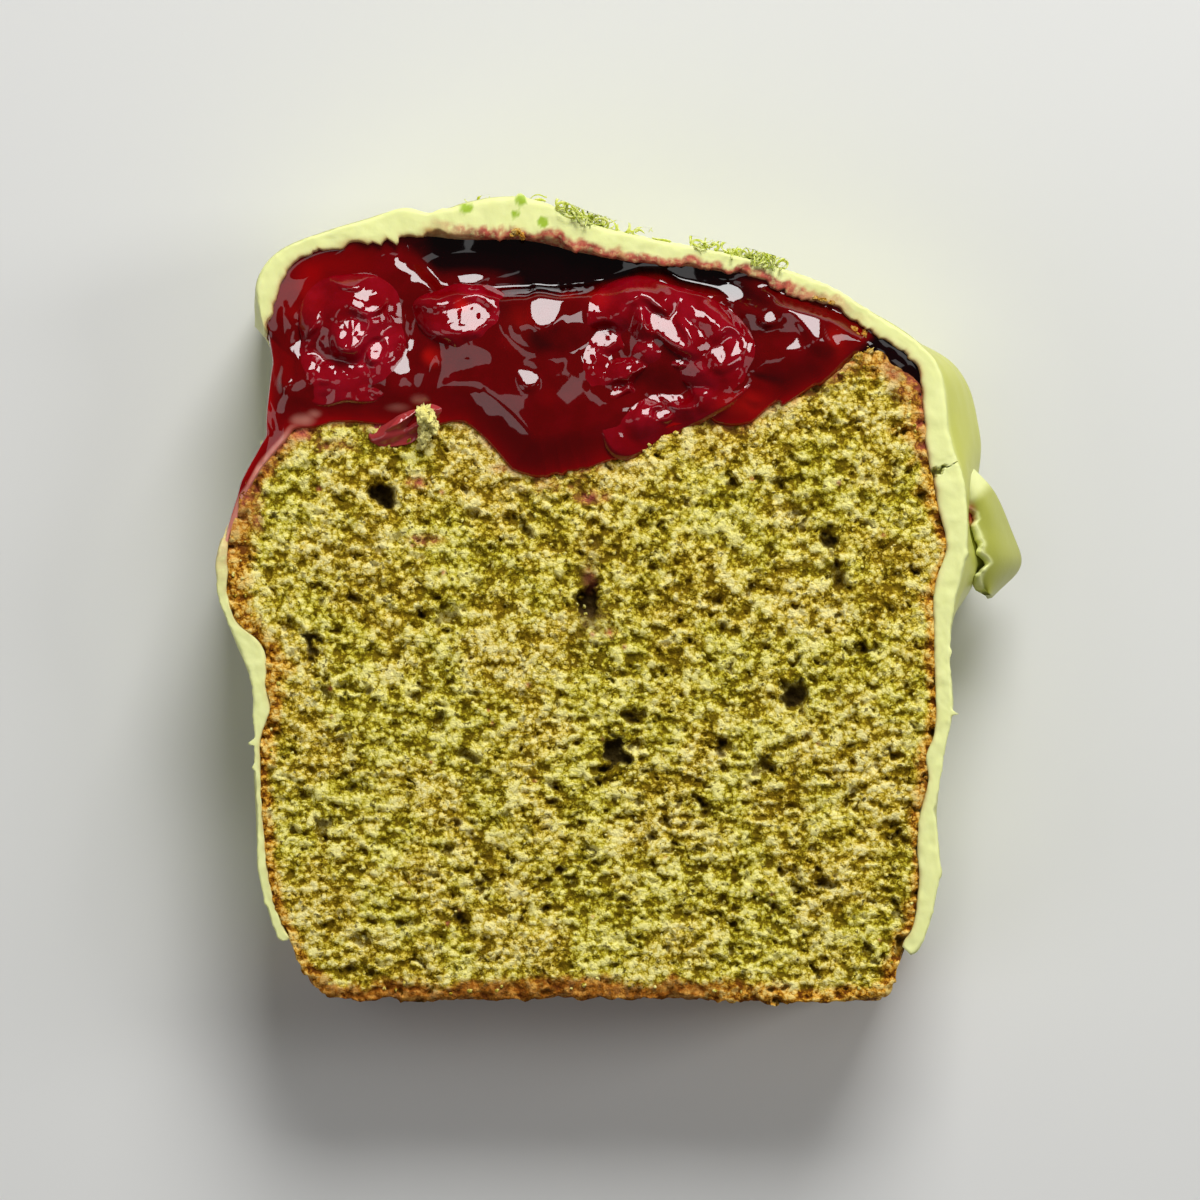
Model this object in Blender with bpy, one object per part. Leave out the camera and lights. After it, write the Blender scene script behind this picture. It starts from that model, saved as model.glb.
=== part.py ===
"""A slice of glazed loaf cake with a red jam filling, lying on its back cut face.

The shown cut face is up (+Z), the top of the loaf points to +Y. All lengths are in metres.
Every outline is read as a radius round one centre, so that the layers nest with an even gap.
"""

import math
import random

import bmesh
import bpy
import numpy as np
from mathutils import Matrix, Vector, noise
from mathutils.geometry import delaunay_2d_cdt

MM = 0.001
THICKNESS = 25 * MM
GAP = 0.3 * MM
STATION_STEP = 2.5
CENTRE = Vector((-4.5 * MM, -5 * MM, 0))
SIDE_HEIGHTS = [22 * MM, 14 * MM, 6 * MM]
ORIGIN_SHIFT = Vector((-0.4 * MM, -0.3 * MM, 0))

# Inner side of the glaze, or the crumb's edge where it has no glaze, clockwise from the bottom left corner.
CAKE_OUTLINE_MM = [
    (-38.5, -49.4), (-41.6, -42.1), (-43.9, -35.1), (-45.3, -25.6), (-45.8, -18.8), (-44.6, -10.3),
    (-45.3, -6.0), (-48.5, -2.6), (-50.0, 3.9), (-49.6, 8.0), (-48.0, 13.5), (-45.9, 18.5),
    (-43.6, 24.0), (-43.9, 29.0), (-44.4, 34.6), (-43.0, 40.5), (-39.1, 43.4), (-33.0, 44.6),
    (-26.5, 45.8), (-20.0, 45.4), (-12.9, 45.5), (-7.5, 44.2), (0.0, 42.8), (8.0, 41.8),
    (16.0, 40.6), (20.1, 38.3), (26.0, 36.6), (31.2, 33.4), (35.8, 30.4), (37.2, 27.0),
    (37.8, 20.0), (39.4, 11.8), (40.8, 6.0), (39.1, 3.0), (39.0, -8.4), (39.2, -14.0),
    (38.3, -22.5), (36.9, -28.0), (37.0, -35.0), (36.2, -41.5), (34.0, -46.5), (31.0, -50.3),
    (20.0, -50.6), (-4.0, -50.2), (-28.0, -50.3),
]

# Outer side of the glaze at the cut, clockwise from its bottom left end.
GLAZE_OUTLINE_MM = [
    (-43.0, -44.5), (-44.9, -39.0), (-46.4, -31.0), (-47.3, -21.5), (-47.0, -16.0), (-47.2, -10.0),
    (-49.0, -5.0), (-51.0, 0.0), (-51.3, 6.5), (-50.8, 11.0), (-49.9, 15.0), (-48.9, 19.0),
    (-46.7, 24.5), (-46.5, 30.0), (-47.5, 36.8), (-44.6, 43.2), (-38.8, 45.8), (-32.0, 47.9),
    (-25.5, 50.1), (-17.0, 50.6), (-10.5, 50.4), (-6.6, 47.8), (2.0, 45.6), (10.0, 44.1),
    (18.8, 41.8), (24.5, 40.0), (30.5, 36.4), (37.4, 31.8), (39.6, 28.0), (40.1, 20.5),
    (42.7, 13.5), (42.6, 6.5), (41.2, 0.0), (40.7, -7.5), (41.1, -13.5), (39.8, -20.5),
    (38.9, -27.5), (39.6, -33.3), (38.2, -40.5), (36.3, -45.2),
]
GLAZE_FIRST, GLAZE_LAST = 225.0, -45.0
GLAZE_LEAST = 1.0 * MM
# Where the glaze swells outwards below the cut on the right: angle, half width in degrees, reach in mm.
GLAZE_FLARES = [(30, 13, 5.4), (10, 8, 3.4)]

# Top edge of the crumb under the jam as (angle in degrees, radius in mm) round the centre.
CRUMB_TOP = [
    (167.5, 46.3), (162, 46.4), (155, 46.0), (150, 45.2), (144, 44.2), (139, 42.6), (134, 40.4),
    (128, 36.4), (120, 32.2), (112, 29.4), (104, 27.6), (96, 27.0), (88, 27.4), (78, 28.2),
    (70, 29.2), (62, 31.8), (56, 34.6), (51, 38.0), (48.5, 42.6), (46, 48.8), (41, 49.8),
    (36, 50.4), (32.5, 49.6),
]
# Lower edge of the jam where it lies on the cut face, in the same form.
JAM_EDGE = [
    (167.5, 45.9), (155, 45.4), (144, 43.6), (139.5, 41.9), (136.5, 39.2), (132, 35.2),
    (127, 33.2), (121, 31.8), (118.5, 30.4), (117, 26.6), (115, 23.4), (111, 21.8), (105, 20.9),
    (97, 20.8), (90, 21.2), (84, 22.2), (79, 22.8), (75.5, 24.9), (72.5, 27.0), (67, 28.8),
    (62, 30.6), (56, 31.8), (52.5, 34.0), (50, 38.6), (48, 43.6), (46, 50.0), (32.5, 50.4),
]
JAM_FIRST, JAM_LAST = 167.5, 32.5
OVERHANG_LAST = 50.0
JAM_ROWS = 11

# Broken front rim: between these angles the glaze stops short and the jam runs out over it.
SPILL_FIRST, SPILL_LAST = 158.0, 137.0
SPILL_TOP = 16.5 * MM

# Lobes of the jam's free surface: x, y, radius along x, radius along y, rise, all in mm.
JAM_LOBES = [
    (-9.5, 24.0, 9.0, 10.0, 3.2), (-20.5, 33.5, 8.0, 6.5, 2.4), (-34.0, 30.0, 8.0, 9.0, 2.0),
    (-10.0, 36.0, 7.0, 5.5, 2.6), (14.5, 27.5, 6.5, 6.0, 2.6), (22.5, 31.5, 6.5, 5.5, 2.4),
    (3.0, 25.0, 7.0, 6.0, 2.0), (-44.5, 22.5, 3.5, 9.0, 0.8), (-3.0, 31.0, 4.5, 7.0, 1.2),
]
# Sunk pool under the top rim, in the same form.
JAM_POOL = [(-7.0, 43.0, 20.0, 5.0, -3.4), (16.0, 39.5, 9.0, 4.0, -2.2)]
JAM_LEVEL = 24.9 * MM

# Pieces of fruit that stand in the jam: name, centre and radii in mm, and the seed of their lumps.
FRUIT = [
    ("fruit_piece_right", (5.6, 32.0, 24.2), (10.8, 7.8, 4.9), 11),
    ("fruit_piece_left", (-35.0, 33.3, 23.6), (5.8, 6.4, 4.6), 12),
    ("fruit_piece_middle", (-20.6, 34.4, 23.8), (6.4, 4.3, 4.3), 13),
]

# Large open pores in the cut face: x, y, radius across, radius along y in mm.
PORES = [
    (-30.1, 13.1, 1.8, 1.4), (-4.5, 0.0, 1.5, 1.8), (-1.4, -19.4, 1.8, 1.5), (21.1, -11.9, 1.7, 1.7),
    (17.4, -20.6, 1.3, 1.1), (25.5, 7.5, 1.2, 1.6), (11.8, -18.8, 1.2, 1.1), (-22.4, -1.9, 1.6, 1.5),
    (-39.1, -6.0, 0.9, 1.8), (-38.0, -11.6, 1.0, 1.2), (-19.8, -19.6, 1.2, 0.9), (-38.0, -28.5, 1.3, 1.1),
    (24.8, -35.0, 1.1, 1.1), (33.0, -18.8, 1.1, 1.2), (34.9, -43.1, 1.1, 1.1), (29.9, -6.3, 0.9, 1.5),
]

# Lime zest lies on the loaf's top in loose groups: angle, height in mm, number of strands.
ZEST_GROUPS = [(91.0, 21.0, 4), (75.5, 20.0, 2), (67.5, 20.5, 5), (101.0, 12.0, 2), (83.0, 9.0, 2)]
ZEST_RADIUS = 0.55 * MM
ZEST_LENGTH = 6.0 * MM

CRUMB_COLOUR = (0.38, 0.30, 0.05)
GLAZE_COLOUR = (0.72, 0.78, 0.36)
JAM_COLOUR = (0.20, 0.003, 0.005)
FRUIT_COLOUR = (0.32, 0.006, 0.012)


def clear_scene():
    for old in list(bpy.data.objects):
        bpy.data.objects.remove(old, do_unlink=True)


def plain_material(name, colour, roughness):
    made = bpy.data.materials.new(name)
    made.use_nodes = True
    shader = made.node_tree.nodes["Principled BSDF"]
    shader.inputs["Base Color"].default_value = (*colour, 1)
    shader.inputs["Roughness"].default_value = roughness
    shader.inputs["Metallic"].default_value = 0
    return made


def smooth_points(points, closed, steps=10):
    """A Catmull-Rom curve through the points."""
    count = len(points)
    spans = count if closed else count - 1
    found = []
    for span in range(spans):
        if closed:
            a, b, c, d = (points[(span + offset) % count] for offset in (-1, 0, 1, 2))
        else:
            a, b, c, d = (points[min(max(span + offset, 0), count - 1)] for offset in (-1, 0, 1, 2))
        a, b, c, d = (np.array(point, float) for point in (a, b, c, d))
        for t in np.arange(steps) / steps:
            found.append(0.5 * (2 * b + (c - a) * t + (2 * a - 5 * b + 4 * c - d) * t**2
                                + (3 * b - a - 3 * c + d) * t**3))
    if not closed:
        found.append(np.array(points[-1], float))
    return np.array(found)


def radius_round(points_mm, closed):
    """The outline's radius round the centre, as a function of the angle in degrees."""
    curve = smooth_points(points_mm, closed) * MM - np.array(CENTRE.xy)
    angles = np.degrees(np.arctan2(curve[:, 1], curve[:, 0])) % 360
    radii = np.hypot(curve[:, 0], curve[:, 1])
    return lambda angle: float(np.interp(angle % 360, angles[np.argsort(angles)],
                                         radii[np.argsort(angles)], period=360))


def radius_from_list(pairs):
    """A radius as a function of the angle, straight between the listed (angle, mm) pairs."""
    angles, radii = np.array(pairs[::-1]).T
    return lambda angle: float(np.interp(angle, angles, radii)) * MM


cake_radius = radius_round(CAKE_OUTLINE_MM, True)
glaze_radius = radius_round(GLAZE_OUTLINE_MM, False)
listed_crumb_top = radius_from_list(CRUMB_TOP)
listed_jam_edge = radius_from_list(JAM_EDGE)


def place(angle, radius, height):
    turn = math.radians(angle)
    return CENTRE + Vector((radius * math.cos(turn), radius * math.sin(turn), height))


def under_jam(angle):
    return JAM_LAST <= angle <= JAM_FIRST


def depth_wave(angle, height):
    """How far the sides of all layers wander outwards at a height, nothing at the cut."""
    depth = 1 - height / THICKNESS
    return depth * 0.9 * MM * noise.noise(Vector((math.cos(math.radians(angle)) * 2.2,
                                                  math.sin(math.radians(angle)) * 2.2, height * 60)))


def crumb_radius(angle, height=THICKNESS):
    outer = cake_radius(angle) - GAP
    if under_jam(angle):
        outer = min(outer, listed_crumb_top(angle))
    return outer + depth_wave(angle, height)


def glaze_inner(angle, height):
    return cake_radius(angle) + depth_wave(angle, height)


def bump(value, middle, half_width):
    """1 at the middle, falling smoothly to 0 at half_width from it."""
    t = min(abs(value - middle) / half_width, 1)
    return (1 - t * t) ** 2


def glaze_outer(angle, height):
    """The outer side of the glaze, with the flare on the right below the cut."""
    signed = (angle + 180) % 360 - 180
    at_cut = max(glaze_radius(angle), cake_radius(angle) + GLAZE_LEAST)
    depth = min((THICKNESS - height) / (9 * MM), 1)
    flare = sum(reach * MM * bump(signed, *where) for *where, reach in GLAZE_FLARES) * depth
    drape = 0.5 * MM * depth * noise.noise(Vector((angle / 9, height * 90, 3)))
    return at_cut + flare + drape + depth_wave(angle, height)


def glaze_top(angle):
    """The glaze reaches the cut, except along the broken rim on the left."""
    if SPILL_LAST < angle < SPILL_FIRST:
        return SPILL_TOP
    return THICKNESS


def finish_object(name, mesh_data, material, smooth_angle=40):
    bmesh.ops.recalc_face_normals(mesh_data, faces=mesh_data.faces)
    mesh = bpy.data.meshes.new(name)
    mesh_data.to_mesh(mesh)
    mesh_data.free()
    mesh.shade_smooth()
    mesh.set_sharp_from_angle(angle=math.radians(smooth_angle))
    mesh.materials.append(material)
    made = bpy.data.objects.new(name, mesh)
    bpy.context.scene.collection.objects.link(made)
    return made


def swept_body(sections):
    """A closed body through planar sections that all have the same number of points."""
    body = bmesh.new()
    rings = [[body.verts.new(point) for point in section] for section in sections]
    for ring, following in zip(rings, rings[1:]):
        for index in range(len(ring)):
            after = (index + 1) % len(ring)
            body.faces.new((ring[index], ring[after], following[after], following[index]))
    body.faces.new(rings[0])
    body.faces.new(rings[-1])
    return body


def stations(first, last):
    """Angles from the first down to the last, in even steps."""
    return np.arange(first, last - STATION_STEP / 2, -STATION_STEP)


def crumb_relief(x, y):
    """Height of the torn cut face: shallow dips and crags below the cut plane."""
    coarse = noise.noise(Vector((x * 55, y * 55, 1)))
    fine = noise.noise(Vector((x * 230, y * 230, 7)))
    return THICKNESS - 0.55 * MM * (0.5 + 0.5 * coarse) - 0.5 * MM * abs(fine)


def crumb_front_points(outline):
    """An uneven grid of points that fills the outline."""
    spacing = 3.0 * MM
    draw = random.Random(5)
    found = []
    for row in np.arange(-52 * MM, 36 * MM, spacing * 0.87):
        for column in np.arange(-52 * MM, 44 * MM, spacing):
            x = column + draw.uniform(-0.3, 0.3) * spacing
            y = row + draw.uniform(-0.3, 0.3) * spacing
            arm = Vector((x, y)) - CENTRE.xy
            angle = math.degrees(math.atan2(arm.y, arm.x)) % 360
            if arm.length < crumb_radius(angle) - 0.55 * spacing:
                found.append(Vector((x, y)))
    return found


def make_crumb():
    body = bmesh.new()
    angles = stations(360 - STATION_STEP, 0)
    heights = [THICKNESS, *SIDE_HEIGHTS, 0]
    rings = []
    for height in heights:
        ring = []
        for angle in angles:
            level = height
            if height == THICKNESS:
                edge = place(angle, crumb_radius(angle), 0)
                level = crumb_relief(edge.x, edge.y) - 0.3 * MM
            ring.append(body.verts.new(place(angle, crumb_radius(angle, height), level)))
        rings.append(ring)
    for ring, following in zip(rings, rings[1:]):
        for index in range(len(ring)):
            after = (index + 1) % len(ring)
            body.faces.new((ring[index], ring[after], following[after], following[index]))
    body.faces.new(rings[-1])
    outline = [vert.co.xy.copy() for vert in rings[0]]
    points = outline + crumb_front_points(outline)
    borders = [(index, (index + 1) % len(outline)) for index in range(len(outline))]
    found, _, faces, *_ = delaunay_2d_cdt(points, borders, [], 1, 1e-7)
    front = rings[0] + [
        body.verts.new((point.x, point.y, crumb_relief(point.x, point.y))) for point in found[len(outline):]
    ]
    for face in faces:
        body.faces.new([front[index] for index in face])
    return finish_object("crumb", body, plain_material("crumb", CRUMB_COLOUR, 0.95), 60)


def cut_pores(crumb):
    """Opens the large pores in the cut face with small squashed balls."""
    cutters = bpy.data.collections.new("pore_cutters")
    bpy.context.scene.collection.children.link(cutters)
    draw = random.Random(9)
    for index, (x, y, across, along) in enumerate(PORES):
        ball = bmesh.new()
        bmesh.ops.create_icosphere(ball, subdivisions=1, radius=1)
        for vert in ball.verts:
            vert.co = vert.co * draw.uniform(0.85, 1.15)
            vert.co = Vector((vert.co.x * across, vert.co.y * along, vert.co.z * 1.9)) * MM
        bmesh.ops.translate(ball, verts=ball.verts, vec=(x * MM, y * MM, THICKNESS - 0.4 * MM))
        mesh = bpy.data.meshes.new(f"pore_{index}")
        ball.to_mesh(mesh)
        ball.free()
        cutter = bpy.data.objects.new(f"pore_{index}", mesh)
        cutter.hide_render = True
        cutter.display_type = "WIRE"
        cutters.objects.link(cutter)
    cut = crumb.modifiers.new("pores", "BOOLEAN")
    cut.operation = "DIFFERENCE"
    cut.operand_type = "COLLECTION"
    cut.collection = cutters


def jam_height(point):
    """The free surface of the jam."""
    level = JAM_LEVEL
    for x, y, wide, long, rise in JAM_LOBES + JAM_POOL:
        away = Vector(((point.x / MM - x) / wide, (point.y / MM - y) / long)).length
        level += rise * MM * math.exp(-1.6 * away * away)
    return level + 0.35 * MM * noise.noise(Vector((point.x * 260, point.y * 260, 4)))


def jam_section(angle):
    """Up the crumb's top edge, out over the cut face, back over the free surface and down the glaze."""
    start = crumb_radius(angle) + GAP
    spills = SPILL_LAST + STATION_STEP < angle < SPILL_FIRST - STATION_STEP
    rim = glaze_outer(angle, THICKNESS) - 0.3 * MM if spills else glaze_inner(angle, THICKNESS) - GAP
    step = SPILL_TOP + (GAP if spills else 1.8 * MM)
    points = [place(angle, crumb_radius(angle, height) + GAP, height) for height in (GAP, *SIDE_HEIGHTS[::-1])]
    overhang = start - listed_jam_edge(angle)
    if angle >= OVERHANG_LAST and overhang > 0.2 * MM:
        lip = THICKNESS + GAP
        points.append(place(angle, start, lip))
        start = listed_jam_edge(angle)
        points.append(place(angle, start + 0.5 * overhang, lip))
        points.append(place(angle, start + 0.15 * overhang, lip))
    else:
        lip = THICKNESS - 1.2 * MM
        points += [place(angle, start, lip - fall) for fall in (0.8 * MM, 0.4 * MM, 0)]
    points.append(place(angle, start, lip + 0.35 * MM))
    for row in range(1, JAM_ROWS):
        share = row / JAM_ROWS
        top = place(angle, start + (rim - start) * share, 0)
        edge = min(share, 1 - share, 0.25) / 0.25
        level = jam_height(top)
        top.z = max(lip + 0.5 * MM, lip + 0.5 * MM + (level - lip - 0.5 * MM) * math.sqrt(edge))
        if share > 0.5 and angle < SPILL_LAST:
            top.z = level
        points.append(top)
    points.append(place(angle, rim, max(min(points[-1].z, THICKNESS) - 0.6 * MM, step + 1 * MM)))
    points.append(place(angle, rim, step))
    heights = (step - (0 if spills else 0.8 * MM), *SIDE_HEIGHTS[1:], GAP)
    points += [place(angle, glaze_inner(angle, height) - GAP, height) for height in heights]
    return points


def make_jam():
    body = swept_body([jam_section(angle) for angle in stations(JAM_FIRST, JAM_LAST)])
    bmesh.ops.triangulate(body, faces=body.faces)
    return finish_object("jam", body, plain_material("jam", JAM_COLOUR, 0.08))


def fruit_mesh(centre, radii, seed, swell):
    """A lumpy piece of cooked fruit; swell makes the socket that it sits in."""
    lump = bmesh.new()
    bmesh.ops.create_icosphere(lump, subdivisions=3, radius=1)
    for vert in lump.verts:
        way = vert.co.normalized()
        cells = noise.noise(way * 2.6 + Vector((seed, 0, 0)))
        size = 1 + 0.22 * cells + 0.05 * noise.noise(way * 7 + Vector((0, seed, 0)))
        vert.co = Vector([way[axis] * (radii[axis] * MM * size + swell) for axis in range(3)])
    bmesh.ops.translate(lump, verts=lump.verts, vec=Vector(centre) * MM)
    return lump


def add_fruit(jam):
    """Each piece of fruit stands in a socket of the jam, a gap away from it."""
    look = plain_material("fruit", FRUIT_COLOUR, 0.2)
    for name, centre, radii, seed in FRUIT:
        finish_object(name, fruit_mesh(centre, radii, seed, 0), look)
        socket = finish_object(f"{name}_socket", fruit_mesh(centre, radii, seed, GAP), look)
        socket.hide_render = True
        socket.display_type = "WIRE"
        cut = jam.modifiers.new(name, "BOOLEAN")
        cut.operation = "DIFFERENCE"
        cut.solver = "MANIFOLD"
        cut.object = socket


def glaze_section(angle):
    top = glaze_top(angle)
    heights = [GAP, *SIDE_HEIGHTS[:0:-1], min(SIDE_HEIGHTS[0], top - 1 * MM), top]
    points = [place(angle, glaze_inner(angle, height), height) for height in heights]
    for drop in (0, 2.5 * MM, 0.4 * top, 0.75 * top):
        height = top - drop
        inset = 0.35 * MM if drop == 0 else 0
        points.append(place(angle, glaze_outer(angle, height) - inset, height))
    points.append(place(angle, glaze_outer(angle, GAP) - 0.5 * MM, GAP))
    return points


def zest_strand(angle, height, draw):
    """A short curled strip of peel that lies half sunk in the glaze."""
    turn = draw.uniform(0, math.pi)
    length = ZEST_LENGTH * draw.uniform(0.6, 1.1)
    curl = draw.uniform(-0.9, 0.9)
    spots = []
    for t in np.linspace(-0.5, 0.5, 5):
        along = length * t
        aside = length * curl * (t * t - 0.1)
        round_by = along * math.cos(turn) - aside * math.sin(turn)
        up_by = along * math.sin(turn) + aside * math.cos(turn)
        level = min(max(height * MM + up_by, 2 * MM), THICKNESS - 0.8 * MM)
        at = angle + math.degrees(round_by / cake_radius(angle))
        lift = 0.1 * MM + 0.3 * MM * math.sin(9 * t + turn)
        spots.append(place(at, glaze_outer(at, level) + lift, level))
    strand = bmesh.new()
    rings = []
    for index, spot in enumerate(spots):
        ahead = spots[min(index + 1, 4)] - spots[max(index - 1, 0)]
        facing = ahead.to_track_quat("Z", "Y").to_matrix().to_4x4()
        width = ZEST_RADIUS * (0.6 if index in (0, 4) else 1)
        ring = [Matrix.Translation(spot) @ facing @ Vector((width * math.cos(corner), width * math.sin(corner), 0))
                for corner in np.radians((45, 135, 225, 315))]
        rings.append([strand.verts.new(point) for point in ring])
    for ring, following in zip(rings, rings[1:]):
        for side in range(4):
            after = (side + 1) % 4
            strand.faces.new((ring[side], ring[after], following[after], following[side]))
    strand.faces.new(rings[0])
    strand.faces.new(rings[-1])
    return strand


def fuse_zest(glaze):
    """One union joins all strands of zest to the glaze."""
    draw = random.Random(21)
    strands = bpy.data.collections.new("zest")
    bpy.context.scene.collection.children.link(strands)
    look = glaze.data.materials[0]
    for angle, height, count in ZEST_GROUPS:
        for _ in range(count):
            strand = zest_strand(angle + draw.uniform(-2.6, 2.6), height + draw.uniform(-3, 3), draw)
            made = finish_object("zest_strand", strand, look)
            bpy.context.scene.collection.objects.unlink(made)
            strands.objects.link(made)
    join = glaze.modifiers.new("zest", "BOOLEAN")
    join.operation = "UNION"
    join.operand_type = "COLLECTION"
    join.solver = "MANIFOLD"
    join.collection = strands
    bpy.context.view_layer.objects.active = glaze
    with bpy.context.temp_override(object=glaze, active_object=glaze, selected_objects=[glaze]):
        bpy.ops.object.modifier_apply(modifier=join.name)
    for strand in list(strands.objects):
        bpy.data.objects.remove(strand, do_unlink=True)
    bpy.data.collections.remove(strands)


def make_glaze():
    body = swept_body([glaze_section(angle) for angle in stations(GLAZE_FIRST, GLAZE_LAST)])
    bmesh.ops.triangulate(body, faces=body.faces)
    return finish_object("glaze", body, plain_material("glaze", GLAZE_COLOUR, 0.35), 50)


# The broken flap of glaze at the right, from its upper to its lower end: angle in degrees, then outer
# radius, top height and bottom height in mm.
SHARD_STATIONS = [
    (22.5, 55.3, 17.0, 11.5), (20.0, 55.6, 18.0, 9.0), (17.5, 56.0, 18.6, 7.5), (15.0, 56.8, 18.8, 6.5),
    (12.5, 57.6, 18.6, 6.0), (10.0, 57.9, 18.0, 6.0), (7.5, 56.0, 16.4, 6.5), (5.0, 52.0, 14.0, 8.5),
]
SHARD_ROWS = 6


def shard_section(angle, outer_mm, top_mm, bottom_mm):
    """A cut through the flap: bowed outwards, with its inner side along the glaze behind it."""
    heights = np.linspace(bottom_mm, top_mm, SHARD_ROWS) * MM
    bows = [math.sin(math.pi * share) for share in np.linspace(0.08, 0.85, SHARD_ROWS)]
    inner = [glaze_outer(angle, height) + 1.5 * GAP for height in heights]
    reach = [outer_mm * MM - 1.8 * MM * (1 - bow) for bow in bows]
    outer = [max(far, near + 0.9 * MM) for far, near in zip(reach, inner)]
    outward = [place(angle, radius, height) for radius, height in zip(outer, heights)]
    back = [place(angle, radius, height) for radius, height in zip(inner, heights)]
    return outward + back[::-1]


def make_shard():
    body = swept_body([shard_section(*station) for station in SHARD_STATIONS])
    bmesh.ops.triangulate(body, faces=body.faces)
    return finish_object("glaze_shard", body, plain_material("glaze_shard", GLAZE_COLOUR, 0.35), 50)


def move_to_origin():
    """Puts the middle of the slice's box over the origin."""
    for made in bpy.data.objects:
        made.data.transform(Matrix.Translation(ORIGIN_SHIFT))


def main():
    clear_scene()
    cut_pores(make_crumb())
    add_fruit(make_jam())
    fuse_zest(make_glaze())
    make_shard()
    move_to_origin()


main()
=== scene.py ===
"""The looks of a slice of glazed green tea loaf cake with red jam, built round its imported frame."""

import math

import bmesh
import bpy
import numpy as np
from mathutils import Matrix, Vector
from mathutils.bvhtree import BVHTree
from mathutils.geometry import delaunay_2d_cdt


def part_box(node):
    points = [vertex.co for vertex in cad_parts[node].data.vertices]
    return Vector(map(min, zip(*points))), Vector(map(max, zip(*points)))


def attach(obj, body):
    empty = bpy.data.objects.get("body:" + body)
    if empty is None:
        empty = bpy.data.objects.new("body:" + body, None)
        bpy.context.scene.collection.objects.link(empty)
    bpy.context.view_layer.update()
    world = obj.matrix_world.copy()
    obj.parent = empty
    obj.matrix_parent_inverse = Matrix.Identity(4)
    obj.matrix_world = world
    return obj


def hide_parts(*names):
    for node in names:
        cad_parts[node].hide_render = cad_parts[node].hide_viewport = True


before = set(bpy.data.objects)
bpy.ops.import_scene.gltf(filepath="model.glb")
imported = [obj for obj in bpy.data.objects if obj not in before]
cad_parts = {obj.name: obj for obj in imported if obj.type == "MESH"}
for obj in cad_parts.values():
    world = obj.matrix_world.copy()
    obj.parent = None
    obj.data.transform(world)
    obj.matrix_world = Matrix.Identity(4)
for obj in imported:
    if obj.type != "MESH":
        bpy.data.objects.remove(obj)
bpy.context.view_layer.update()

MM = 0.001
TOP = 25 * MM
FLOOR_GAP = 0.3 * MM
CENTRE = np.array([-4.9, -5.3]) * MM
ARMS = 720
PHOTO_MIDDLE = np.array([-3.65, -0.3]) * MM
PHOTO_SIZE = 1200
PIXEL = 0.125 * MM
HIGHEST = 30.1 * MM
NEAR_CUT = 20 * MM
SKIN_GAP = 0.3 * MM
ALL_ARMS = np.arange(ARMS) * 360 / ARMS


# Plain numbers work: noise, smoothing and interpolation


def at_photo(column, row):
    """The place on the cut plane that the photo shows at a pixel of its square frame."""
    return PHOTO_MIDDLE + np.array([column - PHOTO_SIZE / 2, PHOTO_SIZE / 2 - row]) * PIXEL


def column_x(column):
    return at_photo(column, 0)[0]


def hashed(cells, seed):
    """An even random number from 0 to 1 for each cell of a lattice."""
    x, y, z = (cells[..., axis].astype(np.int64) for axis in range(3))
    mixed = (x * 73856093) ^ (y * 19349663) ^ (z * 83492791) ^ (seed * 2654435761)
    mixed = ((mixed ^ (mixed >> 13)) * 1274126177) & 0xFFFFFFFF
    mixed = ((mixed ^ (mixed >> 16)) * 2246822519) & 0xFFFFFFFF
    return (mixed & 0xFFFFF) / 0xFFFFF


def soft_noise(points, size, seed):
    """Smooth noise from -1 to 1 whose bumps are about the given size."""
    cells = points / size
    low = np.floor(cells)
    share = cells - low
    share = share * share * (3 - 2 * share)
    total = 0
    for dx in (0, 1):
        for dy in (0, 1):
            for dz in (0, 1):
                corner = np.array([dx, dy, dz])
                weight = np.prod(np.where(corner, share, 1 - share), axis=-1)
                total = total + weight * hashed(low + corner, seed)
    return 2 * total - 1


def layered_noise(points, size, seed, layers=3, keep=0.5):
    total = 0
    for layer in range(layers):
        total = total + keep**layer * soft_noise(points, size / 2**layer, seed + layer)
    return total


def wrinkles(points, size, seed):
    """Sharp crests from 0 to 1, such as a shrivelled skin has."""
    bend = [soft_noise(points, 1.4 * size, seed + 5 + axis) for axis in range(3)]
    bent = points + 0.55 * size * np.stack(bend, axis=-1)
    return (1 - np.abs(soft_noise(bent, size, seed))) ** 2


def flat_points(x, y, level=0.0):
    return np.stack([x, y, np.full_like(x, level)], axis=-1)


def eased(value, low, high):
    """0 below low, 1 above high and smooth between."""
    share = np.clip((value - low) / (high - low), 0, 1)
    return share * share * (3 - 2 * share)


def hump(distance, radius):
    """1 in the middle, falling smoothly to 0 at the radius."""
    share = np.clip(distance / radius, 0, 1)
    return (1 - share * share) ** 2


def between(value, rise, full, fade, end):
    """1 from full to fade, and smoothly down to 0 at rise and at end."""
    return eased(value, rise, full) * eased(value, end, fade)


def soft_max(surfaces, soft):
    """The highest of several surfaces, with rounded valleys between them."""
    surfaces = np.stack(surfaces)
    top = np.max(surfaces, axis=0)
    return top + soft * np.log(np.sum(np.exp((surfaces - top) / soft), axis=0))


def smoothed(values, reach, closed=True):
    """A running mean with a bell shape along the first axis."""
    offsets = np.arange(-3 * reach, 3 * reach + 1)
    weights = np.exp(-0.5 * (offsets / reach) ** 2)
    weights = weights / weights.sum()
    mode = "wrap" if closed else "edge"
    padded = np.pad(values, [(3 * reach, 3 * reach)] + [(0, 0)] * (values.ndim - 1), mode=mode)
    return sum(weight * padded[index:index + len(values)] for index, weight in enumerate(weights))


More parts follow.
